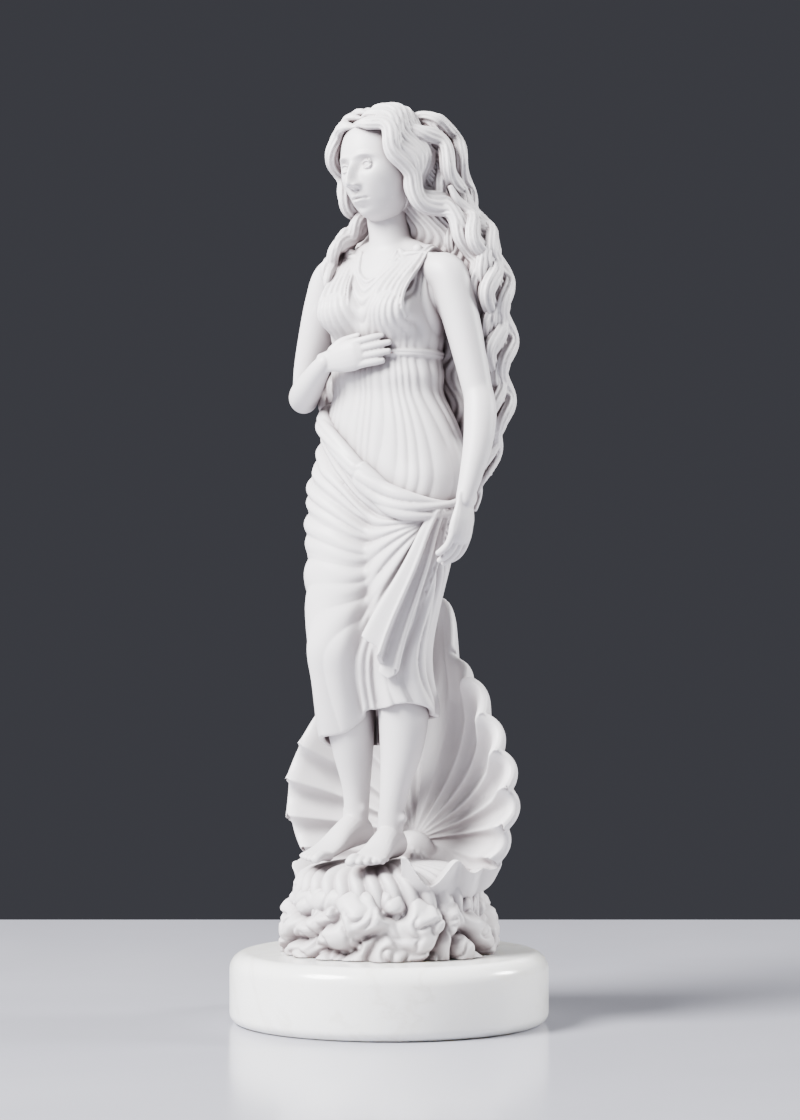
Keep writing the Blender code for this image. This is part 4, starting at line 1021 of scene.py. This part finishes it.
# How far cloth stands from the body's middle line, in every direction and at every height. Angle 0 is her
# front and grows towards her left. hug 1 follows every hollow of trunk and legs, and hug 0 is a band
# stretched round them.
class Cover:
    def __init__(self, low=100, high=815, step=6, sides=120):
        self.heights = np.arange(low, high, step, dtype=float)
        self.angles = ringAngles(sides)
        away = np.stack([np.sin(self.angles), -np.cos(self.angles)], axis=1)
        facing = away @ away.T
        self.middles, follows, bands = [], [], []
        for z in self.heights:
            shapes = shapesAt(z)
            waist = smoothStep((z - 430) / 80)
            legs = np.mean([legAt(leg, z)[:2] for leg in (leftLeg, rightLeg)], axis=0)
            core = np.array(column(trunk, z)[:2])
            middle = core * waist + legs * (1 - waist)
            size = shapes[:, None, 2:]
            p = (middle - shapes[:, None, :2]) / size
            q = away[None] / size
            pq, qq, pp = (p * q).sum(2), (q * q).sum(2), (p * p).sum(2)
            inside = pq * pq - qq * (pp - 1)
            hit = np.where(inside >= 0, (-pq + np.sqrt(np.maximum(inside, 0))) / qq, 0)
            reach = (shapes[:, :2] - middle) @ away.T + np.sqrt(((away[None] * size) ** 2).sum(2))
            reach = reach.max(0)
            band = np.where(facing > 0.05, reach[None] / np.maximum(facing, 0.05), np.inf).min(1)
            self.middles.append(middle)
            follows.append(hit.max(0))
            bands.append(band)
        self.middles = np.array(self.middles)
        self.follows, self.bands = softened(np.array(follows), 4), softened(np.array(bands), 4)

    # Points at angles and heights, standing off the body by stand.
    def at(self, angles, heights, hug, stand):
        angles, heights = np.broadcast_arrays(np.asarray(angles, float), np.asarray(heights, float))
        step = self.heights[1] - self.heights[0]
        row = np.clip((heights - self.heights[0]) / step, 0, len(self.heights) - 1.001)
        col = (angles % math.tau) / (self.angles[1] - self.angles[0])
        r0, c0 = row.astype(int), col.astype(int)
        fr, fc = row - r0, col - c0
        c0, c1 = c0 % len(self.angles), (c0 + 1) % len(self.angles)

        def read(table):
            low = table[r0, c0] * (1 - fc) + table[r0, c1] * fc
            high = table[r0 + 1, c0] * (1 - fc) + table[r0 + 1, c1] * fc
            return low * (1 - fr) + high * fr

        reach = read(self.bands) * (1 - hug) + read(self.follows) * hug + stand
        x = np.interp(heights, self.heights, self.middles[:, 0])
        y = np.interp(heights, self.heights, self.middles[:, 1])
        return np.stack([x + reach * np.sin(angles), y - reach * np.cos(angles), heights], axis=-1)


# Where her left hand gathers the mantle: an angle round the body, in degrees, and a height.
gripAngle = 74
gripHeight = 450


# Where the mantle's rolled edge runs round the hips: high on her right, low in her left hand.
def rollHeight(angles):
    return 528 + 66 * np.cos(angles - math.radians(gripAngle + 180))


# How far the mantle's folds stand out. They spread from her left hand, and hang straight at the back.
def mantleFolds(angles, heights, hemShare):
    across = wrapped(angles)
    run = np.radians(across - gripAngle) * 95
    rise = heights - gripHeight
    spread = np.hypot(run, rise)
    fan = np.degrees(np.arctan2(rise + 0.0017 * run * np.abs(run), -run))
    sway = 0.35 * np.sin(spread / 45) + 0.4 * np.sin(fan / 23)
    split = smoothStep((spread - 95) / 55)
    wide = pleat(fan / 13 + sway) - 0.45
    narrow = pleat(fan / 6.5 + 2 * sway + 0.25) - 0.45
    fanFold = np.minimum(10, spread * 0.11) * (wide * (1 - 0.6 * split) + narrow * 0.6 * split)
    wander = 0.5 * np.sin(2 * angles + 0.8) + 0.35 * np.sin(5 * angles + hemShare)
    hangFold = (3 + 7 * hemShare) * (pleat(19 * angles / math.tau + wander) - 0.45)
    front = smoothStep((across + 125) / 50) * smoothStep((118 - across) / 30)
    thigh = 0.85 * bump(across, -33, 27) * bump(heights, 350, 105)
    otherThigh = 0.5 * bump(across, 28, 17) * bump(heights, 340, 100)
    return (1 - thigh - otherThigh) * (front * fanFold + (1 - front) * hangFold)


# The mantle, from its roll on the hips to a slanting hem below the knees, turned under at the hem.
def mantleRings(cover, steps, sides):
    angles = ringAngles(sides)
    top = rollHeight(angles)
    hem = 176 + 32 * np.cos(angles - math.radians(62)) + 4 * np.sin(5 * angles + 1)
    rings = []
    for share in np.linspace(0, 1, steps):
        heights = top + (hem - top) * share
        hug = 0.6 - 0.15 * share
        stand = 5 + 5 * share + mantleFolds(angles, heights, share)
        rings.append(cover.at(angles, heights, hug, stand))
    for inward, up in ((4.5, -1.5), (8.5, 1), (10, 34)):
        rings.append(cover.at(angles, hem + up, hug, stand - inward))
    return rings


# A strip of cloth in zigzag folds along a path. drop lowers the middle of its lower end.
def ribbonRings(path, across, out, widths, depths, thick, folds, count, drop=0):
    share = np.linspace(-1, 1, count)
    waveSide = share + 0.25 / folds * np.sin(math.tau * folds * share)
    waveOut = np.sin(math.pi * folds * share)
    fall = np.linspace(0, 1, len(path)) ** 2
    ways = np.broadcast_to(across, path.shape), np.broadcast_to(out, path.shape)
    rings = []
    for point, sideWay, outWay, width, depth, down in zip(path, *ways, widths, depths, fall):
        line = np.column_stack([waveSide * width, waveOut * depth])
        way = unit(np.gradient(line, axis=0))
        away = np.column_stack([-way[:, 1], way[:, 0]]) * thick / 2
        loop = np.vstack([line + away, (line - away)[::-1]])
        ring = point + loop[:, :1] * sideWay + loop[:, 1:] * outWay
        ring[:, 2] -= drop * down * (1 - np.abs(np.concatenate([share, share[::-1]])))
        rings.append(ring)
    return rings


# The mantle's end, which hangs in a fall of folds from her left hand.
def gatheredRings(cover, steps):
    heights = np.linspace(gripHeight + 12, 300, steps)
    down = np.linspace(0, 1, steps)
    turn = np.radians(gripAngle - 10 * down + 3 * np.sin(4 * down))
    path = cover.at(turn, heights, 0.3, 12 - 3 * down)
    way = np.radians(gripAngle - 6)
    across = np.array((math.cos(way), math.sin(way), 0))
    out = np.array((math.sin(way), -math.cos(way), 0))
    widths = 9 + 23 * down**0.8
    depths = 3 + 6 * down
    return ribbonRings(path, across, out, widths, depths, 6.5, 2.5, 61, 58)


# The rolled upper edge of the mantle: strands of cloth that twist round one another.
def rollShells(cover, steps, sides):
    shells = []
    angles = np.linspace(0, math.tau, steps, endpoint=False)
    for n in range(5):
        twist = angles * 1.5 + n * math.tau / 5
        heights = rollHeight(angles) + 8 * np.sin(twist) + 3 * np.sin(2 * angles + n)
        stand = 9 + 5 * np.cos(twist)
        path = cover.at(angles, heights, 0.6, stand)
        pinch = 1 - 0.4 * bump(wrapped(angles), gripAngle, 22)
        size = (8.4 + 1.4 * np.sin(angles * 3 + n * 2)) * pinch
        shells.append(loopRings(path, size, sides))
    return shells


# Rings round a closed path, which meet end to end.
def loopRings(path, size, sides):
    along = unit(np.roll(path, -1, axis=0) - np.roll(path, 1, axis=0))
    out = path - path.mean(0)
    out = unit(out - along * (out * along).sum(1, keepdims=True))
    across = np.cross(along, out)
    rings = ovals(path, across, out, size[:, None], ringAngles(sides))
    return np.concatenate([rings, rings[:2]])


# The thin tunic, finely pleated, from the mantle's roll up to a low neck and the shoulders.
def tunicRings(cover, steps, sides):
    angles = ringAngles(sides)
    across = np.abs(wrapped(angles))
    low = rollHeight(angles) - 14
    neck = 764 + 44 * bump(across, 50, 26) + 14 * bump(across, 180, 60) + 26 * bump(across, 132, 26)
    rings = []
    for share in np.linspace(0, 1, steps):
        heights = low + (neck - low) * share
        points = cover.at(angles, heights, 0.75, 0)
        above = np.clip((heights - 672) / 40, 0, 1)
        pin = np.degrees(np.arctan2(58 - np.sqrt(points[:, 0] ** 2 + 60), 826 - heights))
        bustPhase = pin / 4.6
        waistPhase = 34 * angles / math.tau + 0.6 * np.sin(2 * angles + heights / 60)
        waistPhase = waistPhase + 0.3 * np.sin(7 * angles)
        folds = above * 3.4 * (pleat(bustPhase) - 0.5) + (1 - above) * 2.2 * (pleat(waistPhase) - 0.4)
        blouse = 5.5 * bump(heights, 640, 16) + 3 * bump(heights, 585, 35)
        rings.append(cover.at(angles, heights, 0.8, 3.2 + folds + blouse))
    return rings


# A narrow girdle under the bust.
def beltRings(cover, sides):
    angles = ringAngles(sides)
    level = 667 + 3 * np.cos(angles)
    return [
        cover.at(angles, level + lift, 0.8, np.full(sides, float(stand)))
        for lift, stand in ((-6, 0), (-5, 6), (-2, 8), (0, 6.5), (2, 8), (5, 6), (6, 0))
    ]


# The gathered cloth of each shoulder, as rows of x, y, z and half width, from the bust over to the back.
strap = [
    (42, -52, 716, 26),
    (43, -61, 734, 24),
    (45, -54, 752, 21),
    (48, -37, 770, 18),
    (52, -18, 787, 15),
    (56, -3, 803, 12.5),
    (57, 10, 808, 12.5),
    (57, 26, 799, 15),
    (54, 42, 780, 19),
    (50, 50, 756, 22),
    (47, 44, 735, 24),
]


# The shells of both straps, each with whether its ends are flat.
def strapShells(steps):
    shells = []
    for side in (-1, 1):
        curve = spline(strap, steps) * (side, 1, 1, 1)
        path, widths = curve[:, :3], curve[:, 3]
        along, out, across = frames(path, path - (side * 45, 8, 745))
        depths = np.full(steps, 2.6) + 1.2 * bump(widths, 12.5, 3)
        shells.append((ribbonRings(path, across, out, widths, depths, 7, 4.5, 90), True))
        shells.append((ballRings((side * 55, -9, 805), (7.5, 6, 7.5), steps=24, sides=32), False))
    return shells


mantle = {"voxel": 0.0003, "soften": 1, "triangles": 156000, "rows": 240, "around": 560}
tunic = {"voxel": 0.0003, "soften": 1, "triangles": 110000, "rows": 150, "around": 560}


def makeCloth():
    cover = Cover()
    clay = Clay()
    clay.addRings(mantleRings(cover, mantle["rows"], mantle["around"]))
    clay.addRings(gatheredRings(cover, 80), flatEnds=True)
    for rings in rollShells(cover, 240, 30):
        clay.addRings(rings)
    handOver(fused(clay, "mantle", mantle), marblePiece)
    clay = Clay()
    clay.addRings(tunicRings(cover, tunic["rows"], tunic["around"]))
    clay.addRings(beltRings(cover, 200))
    for rings, flatEnds in strapShells(90):
        clay.addRings(rings, flatEnds=flatEnds)
    handOver(fused(clay, "tunic", tunic), marblePiece)


makeCloth()


# The outline of the long hair, as rows of height, centre x, centre y, half width and half depth.
hair = [
    (478, 66, 76, 12, 4),
    (505, 62, 71, 36, 11),
    (540, 58, 66, 60, 17),
    (590, 50, 60, 78, 24),
    (650, 46, 58, 86, 30),
    (710, 44, 57, 90, 32),
    (770, 44, 55, 84, 32),
    (815, 42, 53, 74, 33),
    (855, 32, 48, 60, 38),
    (895, 19, 35, 56, 44),
    (930, 8, 20, 52, 48),
    (962, 0, 8, 38, 40),
]


# A point on the outline of the long hair. Turn 0 is straight behind her, and 90 her left.
def hairPoint(z, turn, stand):
    cx, cy, a, b = column(hair, z)
    turn = math.radians(turn)
    return (cx + (a + stand) * math.sin(turn), cy + (b + stand) * math.cos(turn), z)


# A point off the skull along a direction of the upright head.
def scalpPoint(way, stand):
    x, y, z = unit(np.array(way, float))
    halfWidth, toFace, toNape, halfHeight = skull
    depth = toFace if y < 0 else toNape
    return tuple(onHead(((halfWidth + stand) * x, (depth + stand) * y, (halfHeight + stand) * z)))


# The mass of hair behind the head and the back, under its locks, combed into strands.
def hairRings(steps, sides):
    heights = np.linspace(hair[0][0], hair[-1][0], steps)
    angles = ringAngles(sides)
    rings = []
    for z, cx, cy, a, b in zip(heights, *column(hair, heights)):
        comb = 5 * pleat(36 * angles / math.tau + 0.7 * np.sin(z / 11.8 + 2 * np.sin(angles))) - 3
        x, y = cx + (a + comb) * np.sin(angles), cy + (b + comb) * np.cos(angles)
        rings.append(np.stack([x, y, z + 0 * angles], axis=1)[::-1])
    return np.array(rings)


# The hair close to the skull, combed from the parting to both sides.
def scalpRings(steps, sides):
    ball = ballRings((0, 0, 0), (1, 1, 1), steps=steps, sides=sides)
    over = np.degrees(np.arctan2(-ball[..., 1], ball[..., 2]))
    aside = np.abs(np.arcsin(np.clip(ball[..., 0], -1, 1)))
    comb = (pleat(over / 7 + 0.6 * np.sin(9 * aside)) - 0.5) * smoothStep(5 * aside)
    size = 1 + 0.05 * comb - 0.02 * bump(aside, 0, 0.06)
    return onHead(ball * size[..., None] * (48, 51, 66) + (0, 14, 8))


# One lock along a path that swings in waves. Its section is cut into strands, and its tip is thin.
def lockRings(points, radii, swing, length, start, steps, sides, flat=0.75, strands=9, relief=0.14):
    path = spline(points, steps)
    height = path[:, 2]
    low = smoothStep((880 - height) / 60)
    axis = np.stack([-4 + 14 * low, -4 + 24 * low, np.minimum(height, headCentre[2])], axis=1)
    outward = unit(path - axis)
    along, out, across = frames(path, outward)
    run = np.concatenate([[0], np.cumsum(np.linalg.norm(np.diff(path, axis=0), axis=1))])
    turn = (run / length * math.tau + start)[:, None]
    grow = smoothStep(run / 60)[:, None]
    path = path + grow * swing * (across * np.sin(turn) + 0.35 * out * np.cos(turn + 0.8))
    size = np.interp(np.linspace(0, 1, steps), np.linspace(0, 1, len(radii)), radii)
    along, out, across = frames(path, outward)
    angles = ringAngles(sides)
    twist = (0.008 * run + 0.5 * np.sin(run / 31 + start))[:, None]
    section = 1 + relief * (2 * np.abs(np.sin(0.5 * strands * angles + start + twist)) ** 0.8 - 1)
    return ovals(path, across, out, size[:, None] * section, angles, flat)


# The half widths of a lock of hair along its length.
longLock = (3, 9, 11, 12, 12, 12, 12, 11, 9, 2)
looseLock = (4, 10, 12, 12.5, 12.5, 12, 12, 11, 8, 3)
# Locks that rise from the crown in high waves and fall behind her left shoulder.
raisedLocks = [
    [(14, -2, 970), (34, 18, 980), (54, 42, 982), (68, 58, 954), (77, 64, 916), (83, 69, 876), (88, 71, 838)]
    + [(99, 66, 795), (107, 60, 740), (110, 58, 680), (104, 60, 620)],
    [(18, -14, 962), (44, -2, 966), (64, 14, 956), (77, 29, 924), (86, 41, 884), (93, 49, 844)]
    + [(105, 51, 800), (113, 50, 745), (112, 52, 690)],
    [(2, 14, 972), (18, 40, 974), (33, 64, 956), (44, 80, 918), (50, 86, 876), (56, 88, 834)]
    + [(64, 86, 785), (72, 84, 730), (76, 84, 670)],
]


# The waves that part on the head and run to her hips, and the loose locks at both sides.
def crownShells(steps, sides):
    shells = [scalpRings(220, 260)]
    for side in (-1, 1):
        for n in range(8):
            share = n / 7
            part = math.radians(46 + 104 * share)
            front, top = -math.cos(part), math.sin(part)
            points = [
                scalpPoint((side * 0.02, front, top), 4),
                scalpPoint((side * 0.34, front * 0.93, top * 0.93), 11),
                scalpPoint((side * 0.7, front * 0.68, top * 0.68), 13),
                scalpPoint((side * (0.98 - 0.35 * share), -0.32 + 1.04 * share, 0.1 - 0.04 * share), 11),
                scalpPoint((side * (0.96 - 0.45 * share), -0.04 + 0.84 * share, -0.42 + 0.06 * share), 12),
            ]
            if side > 0:
                turn, end = 126 - 15 * n, 520 + 26 * math.sin(2.3 * n)
            else:
                turn, end = -88 + 11 * n, 560 + 30 * math.sin(2.1 * n)
            points += [hairPoint(z, turn, 8) for z in (838, 790, 730, 665, 600, end)]
            shells.append(lockRings(points, longLock, 7.5, 74, 0.45 * n + side, steps * 3, sides))
    for n, points in enumerate(raisedLocks):
        for share in (1, 0.82):
            inner = [(x * share, y * share, z - 50 * (1 - share)) for x, y, z in points]
            shells.append(lockRings(inner, looseLock, 9, 72, 1.9 * n + 3 * share, steps * 3, sides))
    return shells


# The locks that fall behind her, and the short ones on her right shoulder.
def fallShells(steps, sides):
    shells = [hairRings(260, 420)]
    for n in range(7):
        turn = -66 + 29 * n
        end = 486 + 24 * math.sin(1.9 * n)
        points = [hairPoint(z, turn, 13) for z in (890, 850, 805, 750, 690, 630, 570, end)]
        shells.append(lockRings(points, (4, 11, 13, 13, 12, 11, 3), 12, 78, 1.3 * n, steps * 3, sides))
    for n in range(2):
        inner = 16 * n
        points = [
            (-40 + inner, 34, 862),
            (-64 + inner, 46, 808),
            (-90 + inner, 48, 754),
            (-110 + inner, 40, 694),
            (-118 + inner, 32, 634),
            (-111 + inner, 30, 588 + inner),
            (-104 + inner, 33, 560 + inner),
        ]
        shells.append(lockRings(points, (8, 11, 12, 12, 11, 9, 3), 9, 72, 1.7 * n, steps * 2, sides))
        points = [
            (-34, 20 + 6 * n, 872),
            (-47 - 2 * n, 6 + 8 * n, 846),
            (-60 - 6 * n, -12 + 8 * n, 822),
            (-70 - 9 * n, -26 + 9 * n, 798),
            (-69 - 12 * n, -37 + 12 * n, 770 + 5 * n),
            (-62 - 12 * n, -44 + 12 * n, 745 + 8 * n),
        ]
        shells.append(lockRings(points, (10, 11, 11, 10, 8, 2.5), 6, 48, 0.6 + 2 * n, steps * 2, sides))
    return shells


crownLook = {"voxel": 0.00027, "soften": 0, "triangles": 144000}
fallLook = {"voxel": 0.00027, "soften": 0, "triangles": 115000}


makePiece("hair_from_parting", crownLook, crownShells(64, 72))
makePiece("hair_behind", fallLook, fallShells(64, 72))


# The studio: a pale glossy table that ends behind the statuette, a dark room and three soft lamps.
studio = {
    "turn": 35,
    "distance": 1.1,
    "eyeHeight": 0.1475,
    "filmHeight": 24,
    "lens": 24 * 3439 / 1120,
    "tableBehind": 0.31,
    "room": (0.05, 0.051, 0.061, 1),
    "aim": (0, 0, 0.15),
    "lamps": (
        ("key", (-0.78, -0.5, 0.95), 0.6, 100),
        ("side", (1.0, 0.2, 0.6), 0.3, 24),
        ("back", (0.2, 1.1, 0.8), 0.7, 3),
    ),
}
tableLook = {
    "cloud": {"Scale": 5, "Detail": 4, "Distortion": 0.8},
    "dark": (0.36, 0.36, 0.41, 1),
    "pale": (0.42, 0.42, 0.47, 1),
    "rough": 0.16,
}


def tablePaint(look):
    paint, wire, place, shader = newPaint("table")
    cloud = wire.clouds(place, look["cloud"])
    wire.feed(shader.inputs["Base Color"], blend(look["dark"], look["pale"], cloud))
    wire.feed(shader.inputs["Roughness"], look["rough"] + (cloud - 0.5) * 0.1)
    return paint


def makeStudio():
    turn = math.radians(studio["turn"])
    bpy.ops.object.select_all(action="DESELECT")
    bpy.ops.mesh.primitive_plane_add(size=1)
    table = bpy.context.active_object
    table.name = "table"
    away = Matrix.Rotation(turn, 4, "Z")
    middle = away @ Vector((0, studio["tableBehind"] - 1.5, 0))
    table.data.transform(Matrix.Translation(middle) @ away @ Matrix.Diagonal((4, 3, 1, 1)))
    table.data.materials.append(tablePaint(tableLook))

    world = bpy.data.worlds.new("room")
    world.use_nodes = True
    world.node_tree.nodes["Background"].inputs["Color"].default_value = studio["room"]
    bpy.context.scene.world = world

    for name, place, size, power in studio["lamps"]:
        bpy.ops.object.light_add(type="AREA", location=away @ Vector(place))
        lamp = bpy.context.active_object
        lamp.name = name
        lamp.data.shape = "DISK"
        lamp.data.size = size
        lamp.data.energy = power
        aim = Vector(studio["aim"]) - lamp.location
        lamp.rotation_euler = aim.to_track_quat("-Z", "Y").to_euler()

    eye = away @ Vector((0.0035, -studio["distance"], studio["eyeHeight"]))
    bpy.ops.object.camera_add(location=eye, rotation=(math.pi / 2, 0, turn))
    camera = bpy.context.active_object
    camera.data.sensor_fit = "VERTICAL"
    camera.data.sensor_height = studio["filmHeight"]
    camera.data.lens = studio["lens"]
    bpy.context.scene.camera = camera


makeStudio()
print("studio made")
